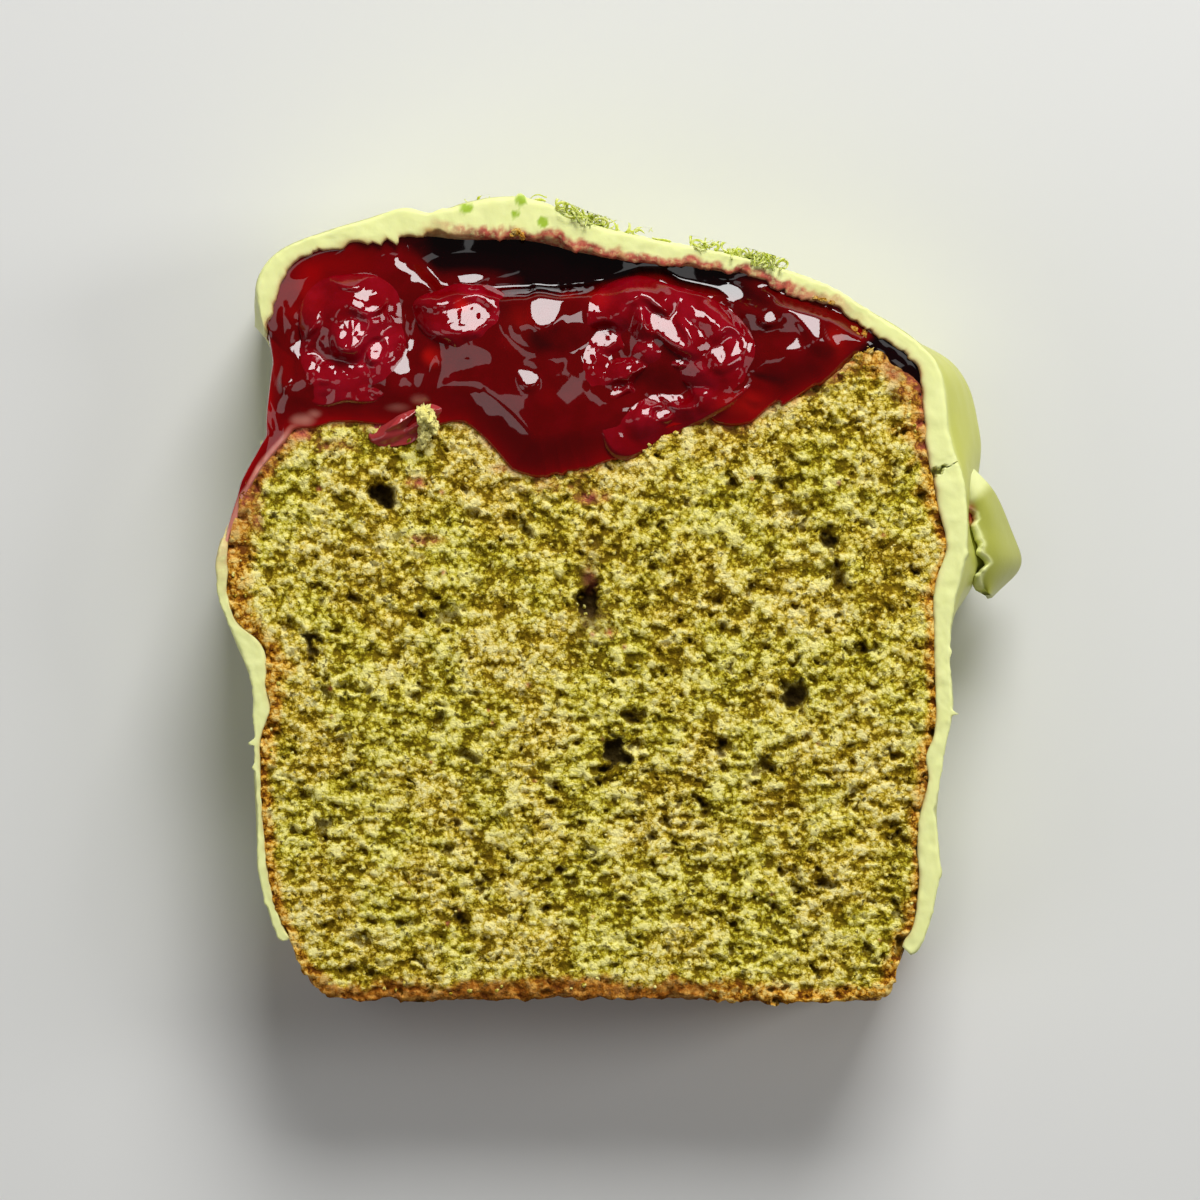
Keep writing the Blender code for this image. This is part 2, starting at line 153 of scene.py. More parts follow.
def distance_to_line(points, line):
    """The distance from each 2-D point to an open line of straight stretches."""
    nearest = np.full(len(points), 1e9)
    for start, end in zip(line, line[1:]):
        run = end - start
        share = np.clip(((points - start) @ run) / max(run @ run, 1e-18), 0, 1)
        away = points - start - share[:, None] * run
        nearest = np.minimum(nearest, np.einsum("ij,ij->i", away, away))
    return np.sqrt(nearest)


def away_from(x, y, column, row, wide, long, tilt=0.0):
    """The distance from a pixel's place, counted in half widths of a tilted oval given in pixels."""
    spot = at_photo(column, row)
    turn = math.radians(tilt)
    dx, dy = x - spot[0], y - spot[1]
    u = (dx * math.cos(turn) + dy * math.sin(turn)) / (wide * PIXEL)
    v = (dy * math.cos(turn) - dx * math.sin(turn)) / (long * PIXEL)
    return np.hypot(u, v)


def oval(x, y, *place):
    """1 in the middle of a tilted oval given in pixels, falling smoothly to 0 at its edge."""
    return hump(away_from(x, y, *place), 1.0)


def spots_mark(x, y, spots):
    """The strongest of some soft oval spots: column, row, half width, half height, strength."""
    found = np.zeros(np.shape(x))
    for *place, strength in spots:
        found = np.maximum(found, strength * oval(x, y, *place))
    return found


class Raster:
    """Values on a fine level grid, read between its cells."""

    def __init__(self, low, high, step):
        self.low, self.step = np.array(low), step
        across = np.arange(low[0], high[0], step)
        along = np.arange(low[1], high[1], step)
        self.x, self.y = np.meshgrid(across, along)
        self.values = np.zeros_like(self.x)

    def read(self, x, y, values=None):
        """Reads the grid's own values, or others that lie on the same grid."""
        values = self.values if values is None else values
        column = np.clip((x - self.low[0]) / self.step, 0, values.shape[1] - 1.001)
        row = np.clip((y - self.low[1]) / self.step, 0, values.shape[0] - 1.001)
        c, r = column.astype(int), row.astype(int)
        fc, fr = column - c, row - r
        near = values[r, c] * (1 - fc) + values[r, c + 1] * fc
        far = values[r + 1, c] * (1 - fc) + values[r + 1, c + 1] * fc
        return near * (1 - fr) + far * fr

    def window(self, x, y, reach):
        """Slices of the grid that hold a square round a point."""
        column, row = (x - self.low[0]) / self.step, (y - self.low[1]) / self.step
        cells = reach / self.step + 1
        rows = slice(max(int(row - cells), 0), max(int(row + cells) + 1, 0))
        columns = slice(max(int(column - cells), 0), max(int(column + cells) + 1, 0))
        return rows, columns


# Reading the frame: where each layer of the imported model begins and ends


def node_tree(name):
    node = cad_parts[name]
    corners = [node.matrix_world @ vert.co for vert in node.data.vertices]
    return BVHTree.FromPolygons(corners, [list(face.vertices) for face in node.data.polygons])


trees = {name: node_tree(name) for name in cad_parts}


def way(angle):
    turn = math.radians(angle)
    return np.array([math.cos(turn), math.sin(turn)])


def radius_at(name, angle, height, inwards):
    """The layer's first radius, seen from outside or from the centre; None where a ray misses it."""
    ahead = Vector((*way(angle), 0))
    middle = Vector((*CENTRE, height))
    start = middle + ahead * 0.12 if inwards else middle
    hit = trees[name].ray_cast(start, -ahead if inwards else ahead)[0]
    return None if hit is None else (hit - middle).length


def radius_table(name, angles, inwards, closed):
    """Radii by arm and height, with gaps along the arms filled from their neighbours."""
    found = np.array([[radius_at(name, angle, height, inwards) or np.nan for height in HEIGHTS]
                      for angle in angles])
    for column in range(len(HEIGHTS)):
        known = ~np.isnan(found[:, column])
        order = np.argsort(angles[known])
        found[:, column] = np.interp(angles, angles[known][order], found[known, column][order],
                                     period=360 if closed else None)
    return smoothed(found, 2, closed)


def read_table(table, angle, height):
    """Reads a radius table between its arms and heights, for arrays of angles and heights."""
    angle, height = np.broadcast_arrays(np.asarray(angle, float), np.asarray(height, float))
    row = (angle % 360) * ARMS / 360
    low_row = np.floor(row).astype(int) % ARMS
    high_row = (low_row + 1) % ARMS
    share = (row - np.floor(row))[..., None]
    rows = table[low_row] * (1 - share) + table[high_row] * share
    column = np.interp(height, HEIGHTS, np.arange(len(HEIGHTS)))
    low = np.clip(column.astype(int), 0, len(HEIGHTS) - 2)
    part = (column - low).reshape(-1)
    flat = rows.reshape(-1, len(HEIGHTS))
    pick = np.arange(len(flat))
    low = low.reshape(-1)
    return (flat[pick, low] * (1 - part) + flat[pick, low + 1] * part).reshape(np.shape(column))


HEIGHTS = np.array([0.6, 6.0, 10.0, 14.0, 18.0, 22.0, 24.2]) * MM
CRUMB_TABLE = radius_table("crumb", ALL_ARMS, True, True)
GLAZE_INNER_TABLE = radius_table("glaze", ALL_ARMS, False, True)


def glaze_outer_table():
    """The glaze's outer radius without the strands of zest that stand on it."""
    table = radius_table("glaze", ALL_ARMS, True, True)
    zest = slice(int(48 * ARMS / 360), int(112 * ARMS / 360))
    lowest = table[zest]
    for _ in range(9):
        lowest = np.minimum(lowest, np.minimum(np.roll(lowest, 1, 0), np.roll(lowest, -1, 0)))
    for _ in range(9):
        lowest = np.maximum(lowest, np.maximum(np.roll(lowest, 1, 0), np.roll(lowest, -1, 0)))
    table[zest] = smoothed(lowest, 4, closed=False)
    return smoothed(table, 2)


GLAZE_OUTER_TABLE = glaze_outer_table()
EDGE_MOVES = [
    # column and row on the cut, moves outwards in mm of the sponge's edge and of the skin's outer edge
    (330, 392, 0.0, 0.0), (312, 408, 0.9, 0.0), (300, 420, 1.4, 0.0), (286, 438, 1.5, 0.0),
    (269, 458, 1.4, 0.0), (243, 492, 1.5, 0.0), (233, 513, 1.1, -0.9), (228, 530, 0.8, -0.7),
    (225, 545, 0.6, -0.3), (222, 565, 0.75, 0.3), (226, 600, 0.8, 0.15), (233, 623, 1.0, 0.1),
    (250, 637, 0.1, 0.0), (262, 660, 0.55, 0.0), (262, 686, 1.0, -0.15), (268, 709, -0.4, 0.0),
    (258, 738, 0.55, -0.5), (262, 768, 0.3, -0.75), (264, 799, 0.7, -0.75), (266, 839, 0.85, -0.25),
    (268, 863, 1.05, 0.4), (274, 894, 1.25, 0.1), (280, 918, 1.35, 0.0), (292, 955, 0.8, 0.0),
    (310, 985, 0.0, 0.0), (938, 452, 0.0, 0.0), (926, 425, 0.5, 0.0), (921, 408, 1.1, 0.0),
    (918, 394, 2.0, 0.0), (903, 376, 2.7, 0.0), (887, 362, 2.9, 0.0), (865, 350, 2.9, 0.0),
    (850, 330, 2.5, 0.0), (780, 398, 2.8, 0.0), (826, 306, 0.0, 0.0), (866, 1004, 0.0, 0.0),
    (884, 998, 1.2, 0.0), (897, 975, 0.3, 0.0), (905, 950, 0.0, 0.0),
]
MOVED_SHARE = np.array([0, 0, 0, 0.15, 0.5, 1, 1])
MOST_INNER_MOVE = 1.4


def move_edges():
    """Brings the edges near the cut to the places where the photo has them."""
    rows = sorted((float(angle_of(*at_photo(*row[:2]))), *row[2:]) for row in EDGE_MOVES)
    angles, inner, outer = np.array(rows).T
    beneath = np.minimum(inner, MOST_INNER_MOVE)
    for table, moves in ((CRUMB_TABLE, inner), (GLAZE_INNER_TABLE, beneath), (GLAZE_OUTER_TABLE, outer)):
        found = np.interp(ALL_ARMS, angles, moves, period=360) * MM
        if table is GLAZE_INNER_TABLE:
            found = np.where(ALL_ARMS < 90, 0, found)
        table += smoothed(found, 2)[:, None] * MOVED_SHARE


def placed(angle, radius, height):
    """Points in space from arrays of angles in degrees, radii and heights."""
    angle, radius, height = np.broadcast_arrays(np.asarray(angle, float), radius, height)
    turn = np.radians(angle)
    return np.stack([CENTRE[0] + radius * np.cos(turn), CENTRE[1] + radius * np.sin(turn), height], axis=-1)


def angle_of(x, y):
    return np.degrees(np.arctan2(y - CENTRE[1], x - CENTRE[0])) % 360


def reach_of(x, y):
    return np.hypot(x - CENTRE[0], y - CENTRE[1])


def inside_sponge(x, y):
    """How far a place on the cut lies inside the sponge's edge."""
    return read_table(CRUMB_TABLE, angle_of(x, y), TOP) - reach_of(x, y)


move_edges()


# Making objects


def make_object(name, points, faces, material, node=None, marks=None):
    """A smooth mesh piece that rides on the slice; marks are named values for each point."""
    mesh = bpy.data.meshes.new(name)
    mesh.from_pydata([tuple(point) for point in points], [], faces)
    mesh.update()
    for mark, values in (marks or {}).items():
        layer = mesh.attributes.new(mark, "FLOAT", "POINT")
        layer.data.foreach_set("value", np.asarray(values, np.float32))
    fixed = bmesh.new()
    fixed.from_mesh(mesh)
    bmesh.ops.recalc_face_normals(fixed, faces=fixed.faces)
    fixed.to_mesh(mesh)
    fixed.free()
    mesh.shade_smooth()
    mesh.materials.append(material)
    piece = bpy.data.objects.new(name, mesh)
    bpy.context.scene.collection.objects.link(piece)
    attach(piece, "root")
    if node:
        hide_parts(node)
    return piece


def band_faces(rows, columns):
    """Four-sided faces of a grid of points that is stored row by row, where each row is a closed ring."""
    found = []
    for row in range(rows - 1):
        for column in range(columns):
            after = (column + 1) % columns
            found.append((row * columns + column, row * columns + after,
                          (row + 1) * columns + after, (row + 1) * columns + column))
    return found


def closed_tube(grid):
    """The points and faces of rings that follow each other, with both ends filled."""
    rows, columns = grid.shape[:2]
    last = (rows - 1) * columns
    faces = band_faces(rows, columns)
    faces += [tuple(range(columns)), tuple(range(last, last + columns))[::-1]]
    return grid.reshape(-1, 3), faces


def ball_points(subdivisions):
    """The points and faces of a ball made of triangles."""
    ball = bmesh.new()
    bmesh.ops.create_icosphere(ball, subdivisions=subdivisions, radius=1)
    points = np.array([vert.co[:] for vert in ball.verts])
    faces = [tuple(vert.index for vert in face.verts) for face in ball.faces]
    ball.free()
    return points, faces


# Materials


class Shader:
    """A short way to write a node material."""

    def __init__(self, name):
        self.material = bpy.data.materials.new(name)
        self.material.use_nodes = True
        self.tree = self.material.node_tree
        self.main = self.tree.nodes["Principled BSDF"]

    def put(self, socket, value):
        if isinstance(value, bpy.types.NodeSocket):
            self.tree.links.new(value, socket)
        elif isinstance(value, tuple) and len(value) == 3 and socket.type == "RGBA":
            socket.default_value = (*value, 1)
        else:
            socket.default_value = value

    def set(self, **values):
        for name, value in values.items():
            self.put(self.main.inputs[name.replace("_", " ")], value)

    def node(self, kind, output=0, inputs=None, **settings):
        made = self.tree.nodes.new(kind)
        for name, value in settings.items():
            setattr(made, name, value)
        for key, value in (inputs or {}).items():
            self.put(made.inputs[key], value)
        return made.outputs[output]

    def place(self):
        return self.node("ShaderNodeTexCoord", "Object")

    def noise(self, size_mm, detail=3.0, rough=0.5):
        return self.node("ShaderNodeTexNoise", "Fac", {
            "Vector": self.place(), "Scale": 1 / (size_mm * MM), "Detail": detail, "Roughness": rough})

    def cells(self, size_mm, bend_mm):
        """Uneven grains: how far a place is from its grain's middle, and a random shade for each grain."""
        bend = self.node("ShaderNodeTexNoise", "Color", {
            "Vector": self.place(), "Scale": 1 / (size_mm * MM), "Detail": 2.0})
        reach = bend_mm * MM
        bent = self.node("ShaderNodeVectorMath", 0, {0: bend, 1: (reach, reach, reach), 2: self.place()},
                         operation="MULTIPLY_ADD")
        made = self.tree.nodes.new("ShaderNodeTexVoronoi")
        self.put(made.inputs["Vector"], bent)
        self.put(made.inputs["Scale"], 1 / (size_mm * MM))
        return made.outputs["Distance"], made.outputs["Color"]

    def mark(self, name):
        return self.node("ShaderNodeAttribute", "Fac", attribute_name=name)

    def ramp(self, value, *stops):
        made = self.tree.nodes.new("ShaderNodeValToRGB")
        self.put(made.inputs["Fac"], value)
        while len(made.color_ramp.elements) < len(stops):
            made.color_ramp.elements.new(0.5)
        for element, (spot, colour) in zip(made.color_ramp.elements, stops):
            element.position = spot
            element.color = (*colour, 1) if isinstance(colour, tuple) else (colour, colour, colour, 1)
        return made.outputs["Color"]

    def mix(self, share, first, second):
        made = self.tree.nodes.new("ShaderNodeMix")
        made.data_type = "RGBA"
        sockets = [socket for socket in made.inputs if socket.type == "RGBA"]
        self.put(made.inputs[0], share)
        self.put(sockets[0], first)
        self.put(sockets[1], second)
        return [socket for socket in made.outputs if socket.type == "RGBA"][0]

    def math(self, kind, first, second=0.0, third=0.0):
        return self.node("ShaderNodeMath", inputs={0: first, 1: second, 2: third}, operation=kind)

    def bump(self, height, strength, depth_mm, under=None):
        inputs = {"Height": height, "Strength": strength, "Distance": depth_mm * MM}
        if under:
            inputs["Normal"] = under
        return self.node("ShaderNodeBump", inputs=inputs)


def linear(red, green, blue):
    """A colour as a picture gives it, from 0 to 255, in the light values that a shader takes."""
    return tuple((value / 255 / 12.92) if value <= 10 else ((value / 255 + 0.055) / 1.055) ** 2.4
                 for value in (red, green, blue))


def crumb_material():
    look = Shader("crumb")
    distance, shade = look.cells(0.62, 0.5)
    fine = look.noise(0.22, 2, 0.6)
    # Painted light and shade over the grain's own tone: raised clumps are coloured lighter, dips darker.
    value = look.math("MULTIPLY_ADD", look.mark("clump"), 0.55, look.math("MULTIPLY", shade, 0.30))
    value = look.math("ADD", value, look.math("MULTIPLY_ADD", distance, -0.40, 0.36))
    value = look.math("ADD", value, look.math("MULTIPLY_ADD", fine, 0.5, -0.25))
    stops = (0.38, 0.48, 0.54, 0.62, 0.78)
    lime = look.ramp(value, *zip(stops, (linear(110, 92, 2), linear(152, 134, 10), linear(190, 174, 40),
                                         linear(216, 202, 76), linear(250, 240, 144))))
    tan = look.ramp(value, *zip(stops, (linear(118, 92, 2), linear(162, 134, 14), linear(202, 174, 50),
                                        linear(228, 202, 88), linear(252, 238, 158))))
    base = look.mix(look.ramp(look.noise(9, 4, 0.6), (0.42, 0.0), (0.60, 1.0)), lime, tan)
    # Painted shade: small dark spots that stand for the shade inside pores the mesh does not carry.
    painted_pit_shade = look.ramp(look.noise(0.85, 3, 0.55), (0.335, 1.0), (0.365, 0.0))
    base = look.mix(look.math("MULTIPLY", painted_pit_shade, 0.8), base, linear(88, 70, 2))
    gold = look.ramp(value, (0.40, linear(104, 52, 2)), (0.50, linear(176, 112, 14)),
                     (0.62, linear(228, 166, 52)), (0.78, linear(250, 214, 120)))
    burnt = look.ramp(look.noise(1.1, 4, 0.65), (0.36, linear(92, 40, 2)), (0.5, linear(156, 88, 16)),
                      (0.66, linear(222, 160, 72)))
    base = look.mix(look.mark("crust"), base, look.mix(look.mark("bake"), gold, burnt))
    uneven = look.math("MULTIPLY_ADD", fine, 0.6, -0.3)
    # Painted shade: the deeper the pore, the darker the crumb, down to near black in the deepest holes.
    deep = look.math("SUBTRACT", look.mark("cavity"), uneven)
    base = look.mix(look.ramp(deep, (0.30, 0.0), (0.42, 0.6), (1.0, 0.9)), base, linear(100, 76, 2))
    base = look.mix(look.ramp(look.mark("cavity"), (0.7, 0.0), (1.0, 0.9)), base, linear(34, 22, 2))
    base = look.mix(look.mark("stain"), base, linear(198, 92, 84))
    base = look.mix(look.mark("wet"), base, linear(96, 72, 34))
    look.set(Base_Color=base, Roughness=look.ramp(look.mark("wet"), (0.0, 0.8), (1.0, 0.22)),
             Specular_IOR_Level=0.12)
    look.set(Normal=look.bump(value, 0.9, 0.5))
    return look.material


def jam_material(name, deep, bright, pale, cloudy):
    look = Shader(name)
    # For jam this mark is thinness; for fruit it is painted crease shade, fold tops bright, creases deep.
    colour = look.mix(look.mark("thin_and_crease_shade"), deep, bright)
    cloud = look.ramp(look.noise(2.6, 3), (0.45, 0.0), (0.7, 1.0))
    colour = look.mix(look.math("MULTIPLY", cloud, cloudy), colour, pale)
    colour = look.mix(look.mark("glow"), colour, linear(216, 20, 12))
    # Painted shade over deep syrup's dark tone: sunk syrup under the rim and in the groove is near black.
    colour = look.mix(look.mark("sunk"), colour, linear(15, 0, 1))
    colour = look.mix(look.mark("film"), colour, linear(222, 150, 132))
    look.set(Base_Color=colour, Roughness=0.5, Specular_IOR_Level=0.0, Coat_Weight=1.0,
             Coat_Roughness=0.03, Coat_IOR=1.5, Subsurface_Weight=0.12,
             Subsurface_Radius=(1.0, 0.05, 0.03), Subsurface_Scale=0.0014)
    look.set(Normal=look.bump(look.noise(2.6, 2), 0.08, 0.4))
    return look.material


def glaze_material():
    look = Shader("glaze")
    # Painted light and shade: the cut face that looks up is coloured paler than the outer sides.
    outer = look.mix(look.noise(9, 2), linear(188, 190, 80), linear(205, 208, 99))
    cut = look.mix(look.noise(2.2, 4), linear(229, 233, 152), linear(242, 245, 172))
    colour = look.mix(look.mark("cut"), outer, cut)
    # Painted shade: this mark darkens the glaze where it lies in shade by the torn plate.
    colour = look.mix(look.mark("dim"), colour, linear(106, 110, 20))
    spots = look.ramp(look.noise(0.8, 4, 0.65), (0.32, 0.5), (0.5, 1.0))
    red = look.ramp(look.noise(1.4, 4, 0.6), (0.36, linear(206, 140, 92)), (0.5, linear(190, 70, 60)),
                    (0.64, linear(142, 26, 26)))
    colour = look.mix(look.math("MULTIPLY", look.mark("stain"), spots), colour, red)
    colour = look.mix(look.mark("toast"), colour, linear(176, 120, 50))
    colour = look.mix(look.mark("zest"), colour, linear(160, 190, 44))
    look.set(Base_Color=colour, Roughness=look.ramp(look.mark("cut"), (0.0, 0.34), (1.0, 0.55)),
             Specular_IOR_Level=0.35, Subsurface_Weight=0.15, Subsurface_Radius=(1.0, 0.9, 0.4),
             Subsurface_Scale=0.0012)
    fine = look.bump(look.noise(0.4, 3, 0.6), 0.16, 0.12)
    look.set(Normal=look.bump(look.noise(4.0, 2), 0.15, 0.6, fine))
    return look.material


def zest_material():
    look = Shader("zest")
    patches = look.ramp(look.noise(0.9, 2), (0.4, 0.0), (0.6, 1.0))
    colour = look.mix(patches, linear(190, 206, 58), linear(240, 246, 146))
    look.set(Base_Color=colour, Roughness=0.45, Specular_IOR_Level=0.4, Subsurface_Weight=0.5,
             Subsurface_Radius=(1.0, 1.0, 0.4), Subsurface_Scale=0.001)
    look.set(Normal=look.bump(look.noise(0.3, 2), 0.3, 0.1))
    return look.material


# The sponge

PORES = [
    # column, row, half width, half height in pixels, depth in mm
    (385, 495, 15, 11, 3.0), (590, 601, 12, 14, 3.0), (615, 756, 15, 13, 2.8), (795, 695, 14, 14, 2.4),
    (765, 765, 11, 9, 2.0), (829, 540, 9, 13, 2.2), (836, 574, 9, 12, 2.0), (721, 749, 10, 9, 2.0),
    (447, 616, 13, 14, 1.6), (313, 648, 6, 15, 2.4), (322, 693, 8, 10, 1.8), (468, 758, 8, 7, 2.0),
    (322, 829, 11, 9, 1.8), (365, 851, 7, 6, 1.6), (438, 722, 8, 6, 1.6), (635, 716, 12, 5, 1.8),
    (865, 650, 12, 5, 1.8), (824, 880, 9, 8, 2.0), (890, 752, 7, 6, 1.8), (905, 946, 10, 9, 1.8),
    (935, 731, 7, 8, 1.6), (690, 505, 6, 5, 1.6), (470, 515, 8, 5, 1.4), (520, 525, 5, 8, 1.5),
    (750, 590, 5, 7, 1.5), (560, 870, 8, 4, 1.4), (700, 850, 8, 4, 1.4), (480, 880, 7, 4, 1.3),
    (560, 700, 6, 5, 1.4), (355, 600, 7, 6, 1.3), (650, 560, 6, 5, 1.4), (780, 480, 6, 6, 1.5),
    (895, 470, 6, 5, 1.3), (380, 780, 6, 4, 1.3), (850, 800, 5, 5, 1.3), (420, 690, 7, 4, 1.2),
]
JAM_STAINS = [
    # column, row, half width, half height, strength
    (592, 497, 24, 11, 0.9), (590, 578, 12, 20, 0.6), (420, 482, 20, 10, 0.8), (425, 540, 30, 9, 0.45),
    (545, 488, 50, 8, 0.35), (905, 370, 30, 40, 0.75), (922, 430, 16, 40, 0.5), (300, 432, 26, 14, 0.8),
    (258, 505, 10, 40, 0.6), (330, 445, 40, 12, 0.35), (505, 468, 24, 12, 0.4), (612, 632, 10, 8, 0.7),
]
PORE_SPREAD = 1.1
PORE_DEPTH = 0.8
SMALL_PORES = (
    # how many, smallest and largest radius in mm, depth in mm
    (2600, 0.24, 0.45, 0.8), (420, 0.42, 0.75, 1.3),
)
FLECKS = 26
WET_SPOTS = ((592, 622, 26, 34, 0.8), (590, 560, 16, 46, 0.55), (905, 360, 34, 30, 0.5))
RASTER_STEP = 0.15 * MM
FRONT_STEP = 0.285 * MM
EDGE_POINTS = 860
SPONGE_ROWS = 28
SPONGE_LEVEL = TOP - 0.2 * MM


def add_pore(relief, warp, x, y, across, along, depth, tilt, bend=1.0, wall=0.55):
    """Sinks one uneven hole into the relief."""
    reach = 1.6 * max(across, along)
    rows, columns = relief.window(x, y, reach)
    dx = relief.x[rows, columns] + bend * warp[0][rows, columns] - x
    dy = relief.y[rows, columns] + bend * warp[1][rows, columns] - y
    u = (dx * math.cos(tilt) + dy * math.sin(tilt)) / across
    v = (dy * math.cos(tilt) - dx * math.sin(tilt)) / along
    inside = np.clip(1 - (u * u + v * v), 0, 1)
    relief.values[rows, columns] = np.minimum(relief.values[rows, columns], -depth * inside**wall)


def crumb_relief(low, high):
    """The torn cut face as heights below its own level: pores, clumps and the dips between them."""
    relief = Raster(low, high, RASTER_STEP)
    grid = flat_points(relief.x, relief.y)
    warp = [0.5 * MM * layered_noise(grid, 1.2 * MM, seed, 3, 0.65) for seed in (31, 41)]
    squashed = grid * np.array([0.72, 1.0, 1.0])
    squashed[..., 1] *= 1 + 0.35 * eased(-relief.y, 8 * MM, 30 * MM)
    relief.clump = layered_noise(squashed, 1.05 * MM, 51, 3, 0.7)
    draw = np.random.default_rng(7)
    width, height = high[0] - low[0], high[1] - low[1]
    for count, smallest, largest, depth in SMALL_PORES:
        for _ in range(count):
            x, y = low[0] + draw.random() * width, low[1] + draw.random() * height
            size = (smallest + (largest - smallest) * draw.random() ** 2) * MM
            flat = 1 + (0.25 + 0.85 * float(y < -22 * MM)) * draw.random()
            across, along = size * flat, size / math.sqrt(flat)
            depth_here = depth * MM * draw.uniform(0.6, 1.15)
            add_pore(relief, warp, x, y, across, along, depth_here, draw.normal(0, 0.35))
    for column, row, across, along, depth in PORES:
        size = PORE_SPREAD * np.array([across * PIXEL, along * PIXEL])
        depth_here = PORE_DEPTH * depth * MM
        add_pore(relief, warp, *at_photo(column, row), *size, depth_here, 0, bend=1.5, wall=0.3)
    relief.values -= 0.12 * MM * eased(-relief.clump, -0.3, 0.3) + 0.4 * MM * eased(-relief.clump, 0.35, 1.0)
    clumps = soft_noise(grid, 2.6 * MM, 63) + 0.7 * soft_noise(grid, 0.9 * MM, 64)
    relief.values += 0.2 * MM * clumps + 0.35 * MM * soft_noise(grid, 9 * MM, 65)
    # How deep each place lies, a mark that the shader paints dark as shade in the pores.
    relief.cavity = np.clip((-relief.values - 0.3 * MM) / (1.6 * MM), 0, 1)
    # As a mark the clumps carry grain tone and painted light: raised clumps lighter, dips darker.
    relief.clump = np.clip(0.5 + 0.38 * relief.clump, 0, 1)
    return relief


def crumb_outline(count):
    """Points along the sponge's edge at the cut, an even way apart."""
    line = placed(ALL_ARMS, CRUMB_TABLE[:, -1], TOP)[:, :2]
    line = np.vstack([line, line[:1]])
    run = np.concatenate([[0], np.cumsum(np.linalg.norm(np.diff(line, axis=0), axis=1))])
    spots = np.linspace(0, run[-1], count, endpoint=False)
    line = np.stack([np.interp(spots, run, line[:, axis]) for axis in range(2)], axis=1)
    angles = angle_of(*line.T)
    bare = 0.35 + 0.65 * between(angles, 216, 224, 316, 324)
    ragged = layered_noise(flat_points(*line.T), 2.0 * MM, 33, 3, 0.75)
    radius = reach_of(*line.T) + 0.42 * MM * bare * (ragged - 0.25)
    return placed(angles, radius, TOP)[:, :2]


def jittered_inside(edge_table, step, seed, clear):
    """Uneven rows of points inside the sponge's edge."""
    low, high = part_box("crumb")
    draw = np.random.default_rng(seed)
    x, y = np.meshgrid(np.arange(low.x, high.x, step), np.arange(low.y, high.y, step * 0.87))
    x = x + step * 0.5 * (np.arange(len(x)) % 2)[:, None]
    x = (x + draw.uniform(-0.28, 0.28, x.shape) * step).ravel()
    y = (y + draw.uniform(-0.28, 0.28, y.shape) * step).ravel()
    limit = np.interp(angle_of(x, y), ALL_ARMS, edge_table, period=360)
    kept = reach_of(x, y) < limit - clear
    return np.stack([x[kept], y[kept]], axis=1)


def filled(outline, inner):
    """Triangles over an outline and the points inside it."""
    points = [Vector(point) for point in np.vstack([outline, inner])]
    borders = [(index, (index + 1) % len(outline)) for index in range(len(outline))]
    found, _, faces, *_ = delaunay_2d_cdt(points, borders, [], 1, 1e-9)
    return np.array([tuple(point) for point in found]), [tuple(face) for face in faces]


def crumb_marks(points, relief, jam_line):
    """Values for each point: depth and clumps (painted shade and light), browning, stain and wetness."""
    x, y, z = points.T
    on_cut = z > NEAR_CUT
    angle = angle_of(x, y)
    inwards = inside_sponge(x, y)
    wander = 1 + 0.55 * soft_noise(points, 3 * MM, 71) + 0.4 * soft_noise(points, 1.1 * MM, 72)
    base = eased(-y, 44 * MM, 49.5 * MM)
    signed = (angle + 180) % 360 - 180
    dome = between(signed, 20, 32, 50, 62)
    shoulder = between(angle, 132, 140, 160, 170)
    left = between(angle, 158, 166, 204, 216)
    width = (1.9 + 2.1 * base + 3.0 * dome + 0.8 * shoulder + 1.3 * left) * MM * wander
    crust = 1 - eased(inwards, (0.35 + 0.12 * base) * width, width)
    crust = np.where((angle > 52) & (angle < 132), 0.1, crust) * np.where(dome > 0.3, 0.8, 0.95)
    crust = np.where(on_cut, crust, np.where(z > 1 * MM, 1.0, crust))
    left_base = eased(-x, -20 * MM, -4 * MM)
    patches = 0.3 * soft_noise(points, 4 * MM, 74) * (1 - base * (1 - left_base))
    bake = np.clip(base * left_base + patches, 0, 1)
    bake = np.maximum(bake, 0.4 * shoulder * on_cut)
    cavity = np.where(on_cut, relief.read(x, y, relief.cavity), 0.1)
    side = np.clip(0.55 + 0.3 * layered_noise(points, 1.5 * MM, 76, 3), 0, 1)
    clump = np.where(on_cut, relief.read(x, y, relief.clump), side)
    stain = spots_mark(x, y, JAM_STAINS)
    near_jam = distance_to_line(points[:, :2], jam_line)
    stain = np.maximum(stain, 0.5 * np.exp(-near_jam / (0.6 * MM)))
    stain = stain * np.clip(0.75 + 1.0 * soft_noise(points, 0.9 * MM, 73), 0, 1.2)
    draw = np.random.default_rng(29)
    for _ in range(FLECKS):
        spot = CENTRE + np.array([draw.uniform(-36, 38), draw.uniform(-42, 22)]) * MM
        fleck = hump(np.hypot(x - spot[0], y - spot[1]), draw.uniform(0.25, 0.5) * MM)
        stain = np.maximum(stain, 0.8 * fleck)
    wet = spots_mark(x, y, WET_SPOTS) * np.clip(0.7 + soft_noise(points, 0.8 * MM, 75), 0, 1)
    return {"clump": clump, "cavity": cavity, "crust": np.clip(crust, 0, 1), "bake": bake,
            "stain": np.clip(stain * on_cut, 0, 1), "wet": wet * on_cut}


